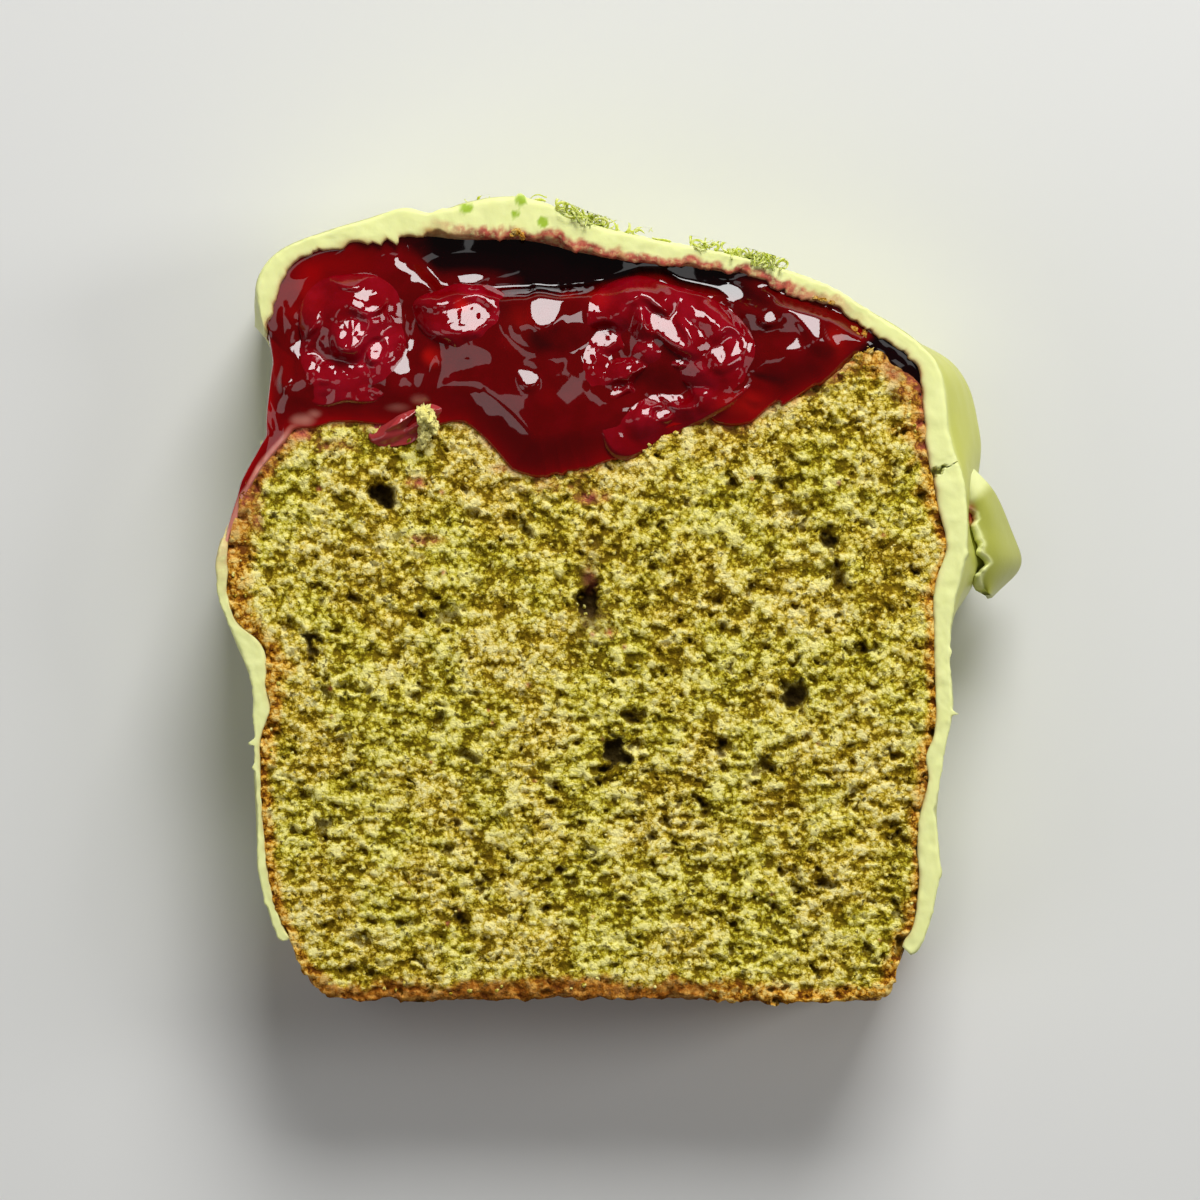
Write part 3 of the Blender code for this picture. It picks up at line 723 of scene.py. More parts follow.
def make_crumb(jam_line):
    low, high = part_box("crumb")
    relief = crumb_relief((low.x - MM, low.y - MM), (high.x + MM, high.y + MM))
    outline = crumb_outline(EDGE_POINTS)
    front, front_faces = filled(outline, jittered_inside(CRUMB_TABLE[:, -1], FRONT_STEP, 3, 0.7 * FRONT_STEP))
    level = SPONGE_LEVEL + relief.read(front[:, 0], front[:, 1])
    level -= 0.25 * MM * np.exp(-np.maximum(inside_sponge(*front.T), 0) / (0.35 * MM))
    points = [np.column_stack([front, np.clip(level, TOP - 4 * MM, TOP - 0.05 * MM)])]
    faces = list(front_faces)
    angles = angle_of(*outline.T)
    heights = np.linspace(TOP - 1.4 * MM, 0.8 * MM, SPONGE_ROWS)
    bare = between(angles, 222, 228, 312, 318)
    for height in heights:
        spots = placed(angles, read_table(CRUMB_TABLE, angles, height), height)
        rough = layered_noise(spots, 1.8 * MM, 81, 4, 0.6)
        radius = reach_of(*spots[:, :2].T) - 0.12 * MM - 0.15 * MM * np.abs(rough) + 0.45 * MM * rough * bare
        points.append(placed(angles, radius, height))
    back_edge = placed(angles, read_table(CRUMB_TABLE, angles, 0.0) - SKIN_GAP, 0.0)
    inner = jittered_inside(CRUMB_TABLE[:, 0] - SKIN_GAP, 0.8 * MM, 4, 0.6 * MM)
    back, back_faces = filled(back_edge[:, :2], inner)
    hollow = np.clip(-relief.read(-back[:, 0] - 9 * MM, back[:, 1]) - 0.25 * MM, 0, 1.4 * MM)
    points.append(np.column_stack([back, 0.02 * MM + hollow]))
    firsts = [0] + [len(front) + row * EDGE_POINTS for row in range(SPONGE_ROWS + 1)]
    first_back = firsts[-1]
    for first, following in zip(firsts, firsts[1:]):
        for index in range(EDGE_POINTS):
            after = (index + 1) % EDGE_POINTS
            faces.append((first + index, first + after, following + after, following + index))
    faces += [tuple(first_back + corner for corner in face[::-1]) for face in back_faces]
    points = np.vstack(points)
    look = crumb_material()
    make_object("crumb_sponge", points, faces, look, "crumb", crumb_marks(points, relief, jam_line))
    return relief, look


BITS = [
    # column, row, half width, half height in pixels, height in mm over the cut, browning or -1 for pale crumb
    (426, 418, 9, 12, 1.9, -1.0), (424, 436, 7, 10, 1.0, -1.0), (434, 428, 6, 8, 1.3, -1.0),
    (517, 232, 4, 3, 0.1, 0.8), (522, 236, 3, 3, 0.0, 0.9), (512, 235, 3, 2, 0.0, 0.9),
    (815, 298, 3, 2, 0.1, 0.9), (823, 300, 4, 2, 0.1, 0.8), (832, 303, 3, 2, 0.0, 0.9),
    (850, 331, 7, 6, -0.5, 1.0), (857, 342, 8, 8, -0.6, 1.0), (850, 347, 6, 8, -0.4, 0.9),
    (855, 357, 8, 7, -0.5, 0.7), (863, 335, 6, 5, -0.9, 1.0), (847, 338, 5, 5, -0.2, 1.0),
    (868, 350, 8, 6, -0.9, 0.7), (876, 357, 7, 5, -1.0, 0.7),
]
GRAINS = 1300


def bit_points(ball, middle, size, seed):
    """A crumb: a ball with rough lumps."""
    rough = 1 + 0.4 * layered_noise(ball + seed, 0.7, 200 + seed, 4, 0.75)
    return np.array(middle) + ball * np.array(size) * rough[:, None]


def make_bits(relief, look, jam_line):
    """Loose crumbs: larger ones by the jam and the glaze, and fine grains all over the cut."""
    points, faces, browned = [], [], []

    def add(ball, ball_faces, middle, size, seed, browning):
        first = sum(len(group) for group in points)
        points.append(bit_points(ball, middle, size, seed))
        faces.extend(tuple(first + corner for corner in face) for face in ball_faces)
        browned.append(np.full(len(ball), browning))

    fine, fine_faces = ball_points(4)
    for index, (column, row, wide, long, rise, browning) in enumerate(BITS):
        spot = at_photo(column, row)
        size = (wide * PIXEL, long * PIXEL, min(wide, long) * PIXEL)
        add(fine, fine_faces, (*spot, TOP + rise * MM), size, index, browning)
    draw = np.random.default_rng(47)
    x, y = (CENTRE + draw.uniform((-46, -46), (46, 40), (GRAINS, 2)) * MM).T
    line_angles = angle_of(*jam_line.T)
    order = np.argsort(line_angles)
    jam_radius = np.interp(angle_of(x, y), line_angles[order], reach_of(*jam_line.T)[order], left=1, right=1)
    open_cut = (inside_sponge(x, y) > 0.8 * MM) & (reach_of(x, y) < jam_radius - 0.8 * MM)
    x, y = x[open_cut], y[open_cut]
    level = SPONGE_LEVEL + relief.read(x, y)
    coarse, coarse_faces = ball_points(2)
    for index, spot in enumerate(zip(x, y, level)):
        size = draw.uniform(0.12, 0.3) * MM
        middle = spot + np.array([0, 0, 0.3 * size])
        add(coarse, coarse_faces, middle, size * draw.uniform(0.7, 1.3, 3), index % 40, 0.0)
    points = np.vstack(points)
    nothing = np.zeros(len(points))
    browned = np.concatenate(browned)
    crust = np.maximum(browned, 0)
    marks = {"clump": np.where(browned < 0, 1.0, 0.62), "crust": crust, "bake": 0.6 * crust,
             "cavity": nothing, "stain": nothing, "wet": nothing}
    make_object("loose_crumbs", points, faces, look, None, marks)


# The jam

JAM_FIRST, JAM_LAST = 167.4, 32.6
JAM_STEP = 0.36
JAM_ROWS = 104
JAM_WALL_ROWS = 20
GROOVE = 47.4
SPILL_FIRST, SPILL_LAST = 164.0, 136.6
SPILL_EDGE = [
    # column, row of the spill's inner and outer edges over the sponge's shoulder
    (338, 386, 264, 321), (322, 400, 270, 361), (301, 420, 266, 395), (287, 440, 264, 420),
    (274, 455, 264, 435), (262, 469, 252, 455), (248, 492, 238, 481), (238, 516, 234, 496),
    (229, 536, 227, 518), (226, 548, 221, 542),
]
JAM_EDGES = [
    # column, row on the jam's edge over the cut, half width in degrees, move outwards in mm
    (780, 398, 1.5, 2.6), (824, 386, 1.3, -2.4), (709, 414, 2.5, 0.6), (560, 462, 2.0, -0.3),
]
FRUIT_NODES = ("fruit_piece_right", "fruit_piece_left", "fruit_piece_middle")

JAM_LOBES = [
    # column, row, half width, half height in pixels, tilt in degrees, rise in mm over the frame's surface
    (545, 318, 33, 34, 12, 1.1), (500, 352, 62, 44, 0, 0.7),
    (532, 418, 70, 66, 0, 0.9), (468, 388, 36, 46, -24, 0.6), (802, 322, 44, 32, -24, 1.4),
    (800, 362, 46, 30, 14, 1.2), (742, 403, 46, 22, 8, 1.0), (300, 392, 24, 34, 0, 0.7),
    (392, 392, 30, 38, 6, 0.8), (352, 402, 34, 26, 0, 0.6), (262, 420, 15, 70, 10, 0.5),
    (425, 375, 16, 40, -10, 0.7), (568, 290, 16, 14, 0, 0.8), (700, 290, 60, 14, -14, 0.3),
]
JAM_FACETS = [
    # column, row, half width, half height in pixels, tilt in degrees: flat places that face the light
    (545, 316, 19, 22, -8), (528, 379, 11, 12, 0), (808, 318, 14, 32, 24), (757, 390, 17, 14, -15),
    (769, 319, 12, 9, 30), (288, 374, 8, 18, -12), (467, 279, 17, 8, 8), (776, 291, 10, 7, -15),
    (733, 290, 18, 9, -20),
]
POOL_BUMP = (462, 284, 80, 34, 4)
POOL_ISLAND = (455, 284, 96, 26, 3)
CALM_MIDDLE = (535, 415, 90, 80)
CALM_LEFT = (320, 285, 60, 30, 20)
SHRIVELLED_SKIN = (345, 350, 85, 95)
BRIGHT_LEFT = (320, 285, 90, 50, 20)
FACET_LEAN = 0.40
FACET_RISE = 0.12 * MM
POOL_LINE = [
    # column, row
    (380, 258), (415, 266), (440, 290), (490, 294), (560, 293), (585, 290), (611, 282), (640, 274),
    (661, 274), (680, 285), (713, 292), (740, 301), (765, 311), (800, 306),
]
POOL_LEVEL = TOP - 2.6 * MM
JAM_GLOWS = [
    # column, row, half width, half height, strength of the places where light shines through
    (462, 305, 12, 10, 0.9), (432, 357, 14, 14, 0.6), (568, 287, 14, 16, 0.55), (742, 406, 40, 20, 0.5),
    (835, 350, 18, 34, 0.4), (600, 300, 18, 16, 0.3), (300, 300, 40, 24, 0.2), (520, 330, 30, 30, 0.3),
]
JAM_FILMS = [
    # column, row, half width, half height, strength: places where a pale film is all that is left
    (303, 420, 16, 9, 0.8), (314, 414, 10, 6, 0.5), (398, 408, 16, 6, 0.3), (420, 400, 12, 7, 0.3),
]


def top_of(names, x, y):
    """The highest point of some nodes over a place, or None."""
    start = Vector((x, y, 0.06))
    hits = [trees[name].ray_cast(start, Vector((0, 0, -1)))[0] for name in names]
    levels = [hit.z for hit in hits if hit is not None]
    return max(levels) if levels else None


def jam_edge(angles):
    """Where the jam begins on each arm, read outwards over the cut face."""
    found = []
    for angle in angles:
        step = way(angle)
        radius = 18 * MM
        while radius < 56 * MM:
            level = top_of(("jam",) + FRUIT_NODES, *(CENTRE + radius * step))
            if level is not None and level > TOP - 2.6 * MM:
                break
            radius += 0.25 * MM
        found.append(radius)
    return np.array(found)


def frame_level():
    """The jam's free surface from the frame, smoothed, with the fruit left standing out of it."""
    low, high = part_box("jam")
    raster = Raster((low.x - MM, low.y - MM), (high.x + MM, high.y + MM), 0.6 * MM)
    fruit = np.zeros_like(raster.x)
    for row in range(raster.x.shape[0]):
        for column in range(raster.x.shape[1]):
            x, y = raster.x[row, column], raster.y[row, column]
            level = top_of(("jam",) + FRUIT_NODES, x, y)
            raster.values[row, column] = TOP if level is None or level < 18 * MM else level
            fruit[row, column] = top_of(FRUIT_NODES, x, y) is not None
    for axis in range(2):
        raster.values = np.moveaxis(smoothed(np.moveaxis(raster.values, axis, 0), 2, False), 0, axis)
        fruit = np.moveaxis(smoothed(np.moveaxis(fruit, axis, 0), 2, False), 0, axis)
    raster.values -= 1.9 * MM * fruit
    return raster


def above_pool_line(x, y):
    """How far a place lies above the lower edge of the sunk syrup, positive towards the glaze."""
    line = np.array([at_photo(*pixel) for pixel in POOL_LINE])
    return y - np.interp(x, line[:, 0], line[:, 1])


def pool_share(x, y):
    """How much a place belongs to the sunk syrup under the top rim: deep syrup in painted shade."""
    ends = between(x, column_x(385), column_x(450), column_x(700), column_x(806))
    return eased(above_pool_line(x, y), -1.0 * MM, 1.1 * MM) * ends


def with_facets(skin, x, y, facets):
    """The surface that skin gives, flattened at the listed places so that they face the light."""
    surface = skin(x, y)
    for column, row, wide, long, tilt in facets:
        spot = at_photo(column, row)
        uneven = 1 + 0.3 * soft_noise(flat_points(x, y), 2.4 * MM, 110)
        share = 1 - eased(away_from(x, y, column, row, wide, long, tilt) * uneven, 0.65, 1.3)
        middle = float(skin(*spot[:, None])[0]) + FACET_RISE
        surface = surface + share * (middle - FACET_LEAN * (y - spot[1]) - surface)
    return surface


def jam_skin(level, x, y):
    """The frame's surface with lobes of syrup and wrinkled skin on it."""
    base = level.read(x, y)
    surfaces = [base - 0.35 * MM]
    for column, row, wide, long, tilt, rise in JAM_LOBES:
        crown = float(level.read(*at_photo(column, row))) + rise * MM
        away = away_from(x, y, column, row, wide, long, tilt)
        surfaces.append(crown - 1.1 * MM * away**2.2)
    surface = soft_max(surfaces, 0.3 * MM)
    flat = flat_points(x, y)
    pool = pool_share(x, y)
    floor = POOL_LEVEL + 0.6 * MM * oval(x, y, *POOL_BUMP)
    floor = floor + 1.0 * MM * eased(x, column_x(600), column_x(720))
    floor = floor + 0.08 * MM * soft_noise(flat, 6 * MM, 108)
    surface = surface * (1 - pool) + np.minimum(surface, floor) * pool
    smooth = np.clip(pool + oval(x, y, *CALM_MIDDLE) * 1.5 + oval(x, y, *CALM_LEFT) * 1.5, 0, 1)
    shrivelled = oval(x, y, *SHRIVELLED_SKIN)
    waves = 0.22 * soft_noise(flat, 5.5 * MM, 101) + 0.1 * soft_noise(flat, 2.6 * MM, 102)
    creases = 0.55 * wrinkles(flat, 3.2 * MM, 103) + 0.2 * wrinkles(flat, 1.4 * MM, 104)
    creases = (0.15 + 0.6 * shrivelled) * creases
    return surface + (waves + creases) * MM * (1 - 0.9 * smooth)


def spill_edge(angles, first):
    """On each arm the radius of the spill's inner edge for first 0, and of its outer edge for first 2."""
    spots = np.array([at_photo(*row[first:first + 2]) for row in SPILL_EDGE])
    return np.interp(angles, angle_of(*spots.T), reach_of(*spots.T))


def jam_surface(level, x, y):
    return with_facets(lambda x, y: jam_skin(level, x, y), x, y, JAM_FACETS)


def jam_marks(points, edge_distance):
    x, y, z = points.T
    on_top = z > 15 * MM
    thin_and_crease_shade = 0.9 * np.exp(-edge_distance / (1.3 * MM)) * (z > NEAR_CUT)
    thin_and_crease_shade = np.maximum(thin_and_crease_shade, 0.25 * eased(soft_noise(points, 5 * MM, 91), 0.1, 0.8))
    angle = angle_of(x, y)
    # The sunk mark: deep syrup's dark tone and painted shade under the glaze's rim and in the groove.
    far_in = eased(above_pool_line(x, y), 0.8 * MM, 2.6 * MM)
    deep = np.maximum(eased(x, column_x(400), column_x(540)), far_in)
    sunk = pool_share(x, y) * deep * (1 - 0.75 * oval(x, y, *POOL_ISLAND))
    sunk = np.clip(sunk * 1.2 + eased(angle, 48, 46.5), 0, 1)
    left = oval(x, y, *BRIGHT_LEFT)
    glow = spots_mark(x, y, JAM_GLOWS) * np.clip(0.6 + soft_noise(points, 2.2 * MM, 92), 0, 1)
    return {"thin_and_crease_shade": np.clip(thin_and_crease_shade + 0.35 * left, 0, 1), "sunk": sunk * on_top, "glow": glow * on_top}


def make_jam():
    angles = np.arange(JAM_FIRST, JAM_LAST, -JAM_STEP)
    count = len(angles)
    edge = smoothed(jam_edge(angles), 1, False)
    edge = edge + 0.25 * MM * layered_noise(placed(angles, edge, TOP), 3 * MM, 95, 2)
    in_groove = eased(angles, GROOVE + 0.7, GROOVE - 0.7)
    edge = edge * (1 - in_groove) + (read_table(CRUMB_TABLE, angles, TOP) - 0.6 * MM) * in_groove
    at_spill = eased(angles, 142, 145)
    edge = edge * (1 - at_spill) + spill_edge(angles, 0) * at_spill
    inner_wall = radius_table("jam", angles, False, False)
    outer_wall = radius_table("jam", angles, True, False)
    level = frame_level()
    glaze_edge = read_table(GLAZE_INNER_TABLE, angles, TOP)
    spill = between(angles, SPILL_LAST - 1, SPILL_LAST + 1, SPILL_FIRST - 1, SPILL_FIRST + 1)
    at_rim = eased(angles, 134.5, 136.5)
    spill_rim = outer_wall[:, -1] * (1 - at_rim) + spill_edge(angles, 2) * at_rim
    skin = read_table(GLAZE_OUTER_TABLE, angles, TOP) - SKIN_GAP
    rim = spill_rim * spill + np.minimum(glaze_edge + 0.9 * MM, skin) * (1 - spill)
    edge = np.minimum(edge + bumps_along(angles, JAM_EDGES), rim - 0.45 * MM)
    edge_line = placed(angles, edge, TOP)[:, :2]
    rim_line = placed(angles, rim, TOP)[:, :2]
    shares = 0.5 - 0.5 * np.cos(np.linspace(0, math.pi, JAM_ROWS))
    radii = edge[:, None] + (rim - edge)[:, None] * shares[None, :]
    top = placed(angles[:, None], radii, TOP).reshape(-1, 3)
    from_edge = distance_to_line(top[:, :2], edge_line)
    from_rim = distance_to_line(top[:, :2], rim_line)

    def spread(values):
        return np.repeat(values, JAM_ROWS)

    surface = jam_surface(level, top[:, 0], top[:, 1])
    start = spread(TOP - 0.8 * MM - 0.7 * MM * in_groove)
    lip_share = np.sqrt(np.clip(1 - (1 - np.clip(from_edge / (0.35 * MM), 0, 1)) ** 2, 0, 1))
    rise = np.clip(from_edge / (5.0 * MM), 0, 1)
    lowest = start + 0.4 * MM - 3.0 * MM * eased(from_edge, 1.5 * MM, 4.0 * MM)
    over = np.maximum(surface, lowest) - start
    lip_height = np.minimum(over, 1.0 * MM)
    top[:, 2] = start + lip_height * lip_share + (over - lip_height) * (1 - (1 - rise) ** 1.4)
    under_glaze = spread(glaze_edge)
    beside = eased(radii.ravel(), under_glaze - 2.2 * MM, under_glaze - 0.1 * MM) * (1 - spread(spill))
    top[:, 2] -= beside * np.maximum(top[:, 2] - (TOP - 0.8 * MM), 0)
    top[:, 2] -= np.clip(1 - from_rim / (0.4 * MM), 0, 1) ** 1.5 * spread(spill) * 3.5 * MM
    top[:, 2] -= np.clip(1 - from_rim / (3.0 * MM), 0, 1) ** 2 * spread(spill) * 1.2 * MM
    top[:, 2] = np.minimum(top[:, 2], HIGHEST)
    marks_from_edge = np.minimum(from_edge, np.where(spread(spill) > 0.5, from_rim, 1.0))
    film_width = (1.0 + 0.35 * soft_noise(top, 2 * MM, 94)) * MM
    film = (1 - eased(from_edge, 0.55 * film_width, film_width)) * eased(spread(angles), 142, 148)
    film = np.maximum(film, 0.95 * eased(spread(angles), 159, 163))
    film = np.maximum(film, spots_mark(top[:, 0], top[:, 1], JAM_FILMS))
    film = film * np.clip(0.8 + 0.3 * soft_noise(top, 1.0 * MM, 93), 0, 1)
    wall = np.linspace(22.0, 0.35, JAM_WALL_ROWS) * MM
    outer_rows = []
    for height in wall:
        skin = read_table(GLAZE_OUTER_TABLE, angles, height) - SKIN_GAP
        inside = np.minimum(skin, rim + 0.2 * MM) * (1 - spill) + (rim - 0.35 * MM) * spill
        radius = np.minimum(radius_down(outer_wall, height), inside)
        filled_up = spill * eased(height, 9 * MM, 11 * MM)
        outer_rows.append(placed(angles, radius * (1 - filled_up) + (rim - SKIN_GAP) * filled_up, height))
    inner_rows = [placed(angles, radius_down(inner_wall, height), height) for height in wall[::-1]]
    outer_rows, inner_rows = np.stack(outer_rows, axis=1), np.stack(inner_rows, axis=1)
    middle = 0.5 * (outer_rows[:, -1] + inner_rows[:, 0])[:, None, :]
    lip = placed(angles, edge + 0.5 * MM, TOP - 1.7 * MM)[:, None, :]
    grid = np.concatenate([top.reshape(count, JAM_ROWS, 3), outer_rows, middle, inner_rows, lip], axis=1)
    points, faces = closed_tube(grid)
    from_edge_all = np.full(grid.shape[:2], 9 * MM)
    from_edge_all[:, :JAM_ROWS] = marks_from_edge.reshape(count, JAM_ROWS)
    film_all = np.zeros(grid.shape[:2])
    film_all[:, :JAM_ROWS] = film.reshape(count, JAM_ROWS)
    look = jam_material("jam", linear(92, 0, 1), linear(172, 0, 3), linear(116, 0, 8), 0.4)
    marks = jam_marks(points, from_edge_all.ravel())
    marks["film"] = film_all.ravel()
    make_object("jam_filling", points, faces, look, "jam", marks)
    return level, edge_line


def radius_down(table, height):
    return np.array([np.interp(height, HEIGHTS, row) for row in table])


# The fruit: each piece by its outline in pixels and its lumps, as jam lobes but with heights over the cut

FRUIT_SHAPES = {
    # outline, lumps, flat places that face the light, height of the folds in mm
    "fruit_piece_right": (
        [(588, 292), (612, 277), (640, 270), (664, 280), (692, 286), (722, 300), (746, 318), (762, 345),
         (764, 374), (742, 398), (716, 414), (690, 428), (662, 440), (642, 454), (624, 464), (607, 452),
         (600, 432), (586, 412), (574, 390), (567, 360), (568, 325)],
        [(636, 293, 36, 16, -4, 3.2), (610, 310, 30, 20, 30, 3.0), (722, 330, 36, 22, -32, 3.2),
         (590, 372, 20, 28, 4, 2.4), (648, 352, 18, 14, 0, 2.3), (624, 376, 22, 15, 15, 2.8),
         (720, 372, 36, 22, -18, 2.8), (700, 402, 30, 14, 14, 2.3), (642, 420, 24, 16, 30, 1.9),
         (617, 438, 14, 26, 8, 1.5), (601, 432, 12, 22, -12, 1.4), (744, 350, 22, 24, 0, 2.7),
         (652, 318, 22, 15, 60, 3.3), (690, 342, 28, 14, -42, 3.3)],
        [(601, 339, 18, 13, -10), (704, 302, 24, 11, -32), (667, 330, 34, 10, -47), (664, 391, 27, 12, -22),
         (679, 362, 10, 7, 0), (615, 391, 11, 8, 20), (664, 414, 10, 7, 0), (728, 352, 12, 20, -30)],
        0.55),
    "fruit_piece_left": (
        [(298, 300), (318, 276), (345, 272), (372, 270), (402, 290), (405, 325), (412, 355), (398, 378),
         (380, 404), (345, 402), (312, 410), (296, 375), (300, 340)],
        [(356, 318, 34, 40, -20, 2.6), (307, 322, 17, 34, -20, 2.0), (350, 281, 24, 13, 15, 2.4),
         (345, 380, 36, 20, 15, 1.9), (386, 360, 17, 34, -15, 2.1), (308, 374, 18, 22, 0, 1.7)],
        [(349, 335, 16, 26, -18), (372, 305, 16, 10, 35), (349, 281, 13, 9, 15), (309, 318, 10, 24, -26),
         (376, 352, 8, 13, -20), (330, 372, 12, 9, 20), (384, 392, 12, 7, 10)],
        0.42),
    "fruit_piece_middle": (
        [(408, 302), (436, 290), (472, 283), (504, 290), (518, 312), (508, 338), (480, 352), (448, 348),
         (420, 332)],
        [(430, 304, 24, 14, -22, 1.7), (464, 320, 54, 33, 14, 1.8)],
        [(462, 322, 36, 19, 14)],
        0.15),
}
STRAND_SHAPE = (
    [(364, 433), (374, 446), (398, 446), (420, 434), (438, 424), (456, 408), (446, 398), (424, 400),
     (404, 408), (384, 420)],
    [(386, 437, 22, 7, 18, 0.9), (400, 421, 26, 8, 38, 1.3), (440, 408, 18, 9, 20, 1.3),
     (420, 424, 16, 6, 30, 0.8)],
    [(404, 418, 22, 4, 36), (438, 405, 14, 4, 24)],
    0.2)
FRUIT_ARMS = 220
FRUIT_RINGS = 52


def rounded_outline(pixels, arms):
    """The middle of a closed outline and its radius on each arm, smoothed."""
    corners = np.array([at_photo(*pixel) for pixel in pixels])
    middle = corners.mean(axis=0)
    arm = corners - middle
    angles = np.degrees(np.arctan2(arm[:, 1], arm[:, 0])) % 360
    order = np.argsort(angles)
    even = np.arange(arms) * 360 / arms
    radii = np.interp(even, angles[order], np.hypot(*arm.T)[order], period=360)
    return middle, even, smoothed(radii, 3)


def fruit_mesh(shape, lowest, lip_level):
    """A piece of fruit: a lumpy top that dives under the syrup round it, and a rounded underside."""
    outline, lobes, facets, shrivel = shape
    middle, angles, radii = rounded_outline(outline, FRUIT_ARMS)
    turn = np.radians(angles)
    away = np.stack([np.cos(turn), np.sin(turn)], axis=1)
    shares = np.sin(np.linspace(0.5 / FRUIT_RINGS, 1, FRUIT_RINGS) * math.pi / 2)
    spots = middle + (radii[:, None] * shares[None, :])[..., None] * away[:, None, :]
    x, y = spots[..., 0], spots[..., 1]
    lips = lip_level(x, y)

    def folds_at(x, y):
        turned = np.stack([0.8 * x + 0.6 * y, 0.55 * (0.8 * y - 0.6 * x), np.zeros_like(x)], axis=-1)
        return 0.8 * wrinkles(turned, 3.8 * MM, 105) + 0.2 * wrinkles(flat_points(x, y), 1.6 * MM, 106)

    def skin(x, y):
        surfaces = [lip_level(x, y) - 0.2 * MM]
        for column, row, wide, long, tilt, crown in lobes:
            surfaces.append(TOP + crown * MM - 1.2 * MM * away_from(x, y, column, row, wide, long, tilt)**2.2)
        return soft_max(surfaces, 0.35 * MM) + shrivel * (0.45 - folds_at(x, y)) * MM

    folds = folds_at(x, y)
    flat = flat_points(x, y)
    surface = with_facets(skin, x, y, facets)
    fine = 0.1 * shrivel * wrinkles(flat, 0.8 * MM, 109) + 0.05 * soft_noise(flat, 0.8 * MM, 107)
    surface = surface + fine * MM
    fade = (shares**4)[None, :]
    surface = surface * (1 - fade) + (lips - 0.25 * MM) * fade
    sunk = np.clip((shares - 0.94) / 0.06, 0, 1)[None, :] ** 1.5
    surface = np.minimum(surface * (1 - sunk) + (lips - 0.9 * MM) * sunk, HIGHEST)
    top = np.stack([x, y, surface], axis=-1)
    under = []
    for share in np.cos(np.linspace(0.15, 0.94, 9) * math.pi / 2):
        depth = math.sqrt(1 - share * share)
        level = (lips[:, -1] - 0.9 * MM) * (1 - depth) + lowest * depth
        spot = middle + (radii * share)[:, None] * away
        under.append(np.column_stack([spot, level]))
    grid = np.concatenate([top, np.stack(under, axis=1)], axis=1).transpose(1, 0, 2)
    rows = len(grid)
    points = grid.reshape(-1, 3)
    faces = band_faces(rows, FRUIT_ARMS)
    faces.append(tuple(range(FRUIT_ARMS))[::-1])
    faces.append(tuple(range(len(points) - FRUIT_ARMS, len(points))))
    # Painted shade in the creases: fold tops take the bright colour and creases the deep one.
    bright = np.zeros((rows, FRUIT_ARMS))
    bright[:FRUIT_RINGS] = (np.clip(0.75 - 1.3 * folds, 0, 1) * (1 - fade)).T
    return points, faces, bright.ravel()


def make_fruit(level):
    """The three pieces that the frame holds, and a torn strand of skin on the cut face."""
    look = jam_material("fruit", linear(120, 0, 8), linear(166, 14, 36), linear(144, 8, 28), 0.55)

    def jam_lip(x, y):
        return jam_surface(level, x, y)

    def sponge_lip(x, y):
        return np.full_like(x, TOP - 0.1 * MM)

    for name, shape in FRUIT_SHAPES.items():
        low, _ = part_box(name)
        points, faces, bright = fruit_mesh(shape, low.z, jam_lip)
        add_fruit(name.replace("piece", "chunk"), points, faces, bright, 0.0, look, name)
    points, faces, bright = fruit_mesh(STRAND_SHAPE, TOP - 1.2 * MM, sponge_lip)
    add_fruit("fruit_strand", points, faces, np.maximum(bright, 0.9), 0.12, look, None)


def add_fruit(name, points, faces, bright, pale, look, node):
    x, y, _ = points.T
    glow = 0.7 * spots_mark(x, y, JAM_GLOWS)
    nothing = np.zeros(len(points))
    marks = {"thin_and_crease_shade": bright, "sunk": nothing, "glow": glow, "film": nothing + pale}
    make_object(name, points, faces, look, node, marks)


# The glaze

GLAZE_FIRST, GLAZE_LAST = 224.8, -44.8
GLAZE_STEP = 0.36
CUT_ROWS = 14
FAR_OUT = 25
CRACK_ANGLE = 26.0
CRACK_REACH = 1.1
CRACK_STEP = 0.07
CRACK_SLANT = 0.6
CRACK_WIDTH = 0.8
CRACK_DEPTH = 2.6 * MM
CRACK_BENDS = (-0.1, 0.35, -0.3, 0.25, -0.35)
CRACK_SHARES = np.linspace(0, 0.64, len(CRACK_BENDS))
END_REACH = 1.8
END_TAPER = 0.7
GLAZE_EDGES = [
    # column, row on the glaze's inner edge, half width in degrees, move outwards in mm
    (434, 226, 1.8, 0.8), (424, 226, 0.5, 0.5), (395, 241, 0.8, -0.9), (383, 248, 0.8, -0.5),
    (355, 243, 1.4, 0.6), (500, 240, 1.2, -0.5), (560, 244, 1.0, 0.7), (575, 252, 0.8, -0.4),
    (640, 257, 1.5, -0.4), (690, 268, 1.6, 0.5), (730, 270, 1.2, -0.6), (785, 288, 0.7, 0.5),
    (300, 258, 1.6, 0.3),
]
GLAZE_BURRS = [
    # column, row on the glaze's outer edge, half width in degrees, reach in mm
    (247, 744, 0.6, 0.9), (252, 768, 0.7, 0.4), (963, 715, 0.5, 0.9), (520, 190, 0.9, 0.6),
    (955, 652, 1.1, 0.25), (437, 200, 1.5, 0.3), (279, 944, 1.6, 0.5), (937, 812, 1.2, -0.4),
    (940, 870, 1.5, 0.3), (268, 900, 0.9, 0.3), (941, 560, 0.9, 0.3),
]


def bumps_along(angles, listed):
    """Small moves of an edge at the listed places."""
    total = np.zeros(len(angles))
    for column, row, half_width, move in listed:
        spot = at_photo(column, row)
        middle = float(angle_of(*spot))
        off = (angles - middle + 180) % 360 - 180
        total += move * MM * hump(np.abs(off), half_width)
    return total


def spill_reach(angles):
    """The outer edge of the spilled jam on each arm, and far out on the other arms."""
    share = between(angles, 135.6, 137.4, 164.5, 167)
    return spill_edge(angles, 2) + (0.1 + FAR_OUT * (1 - share)) * MM


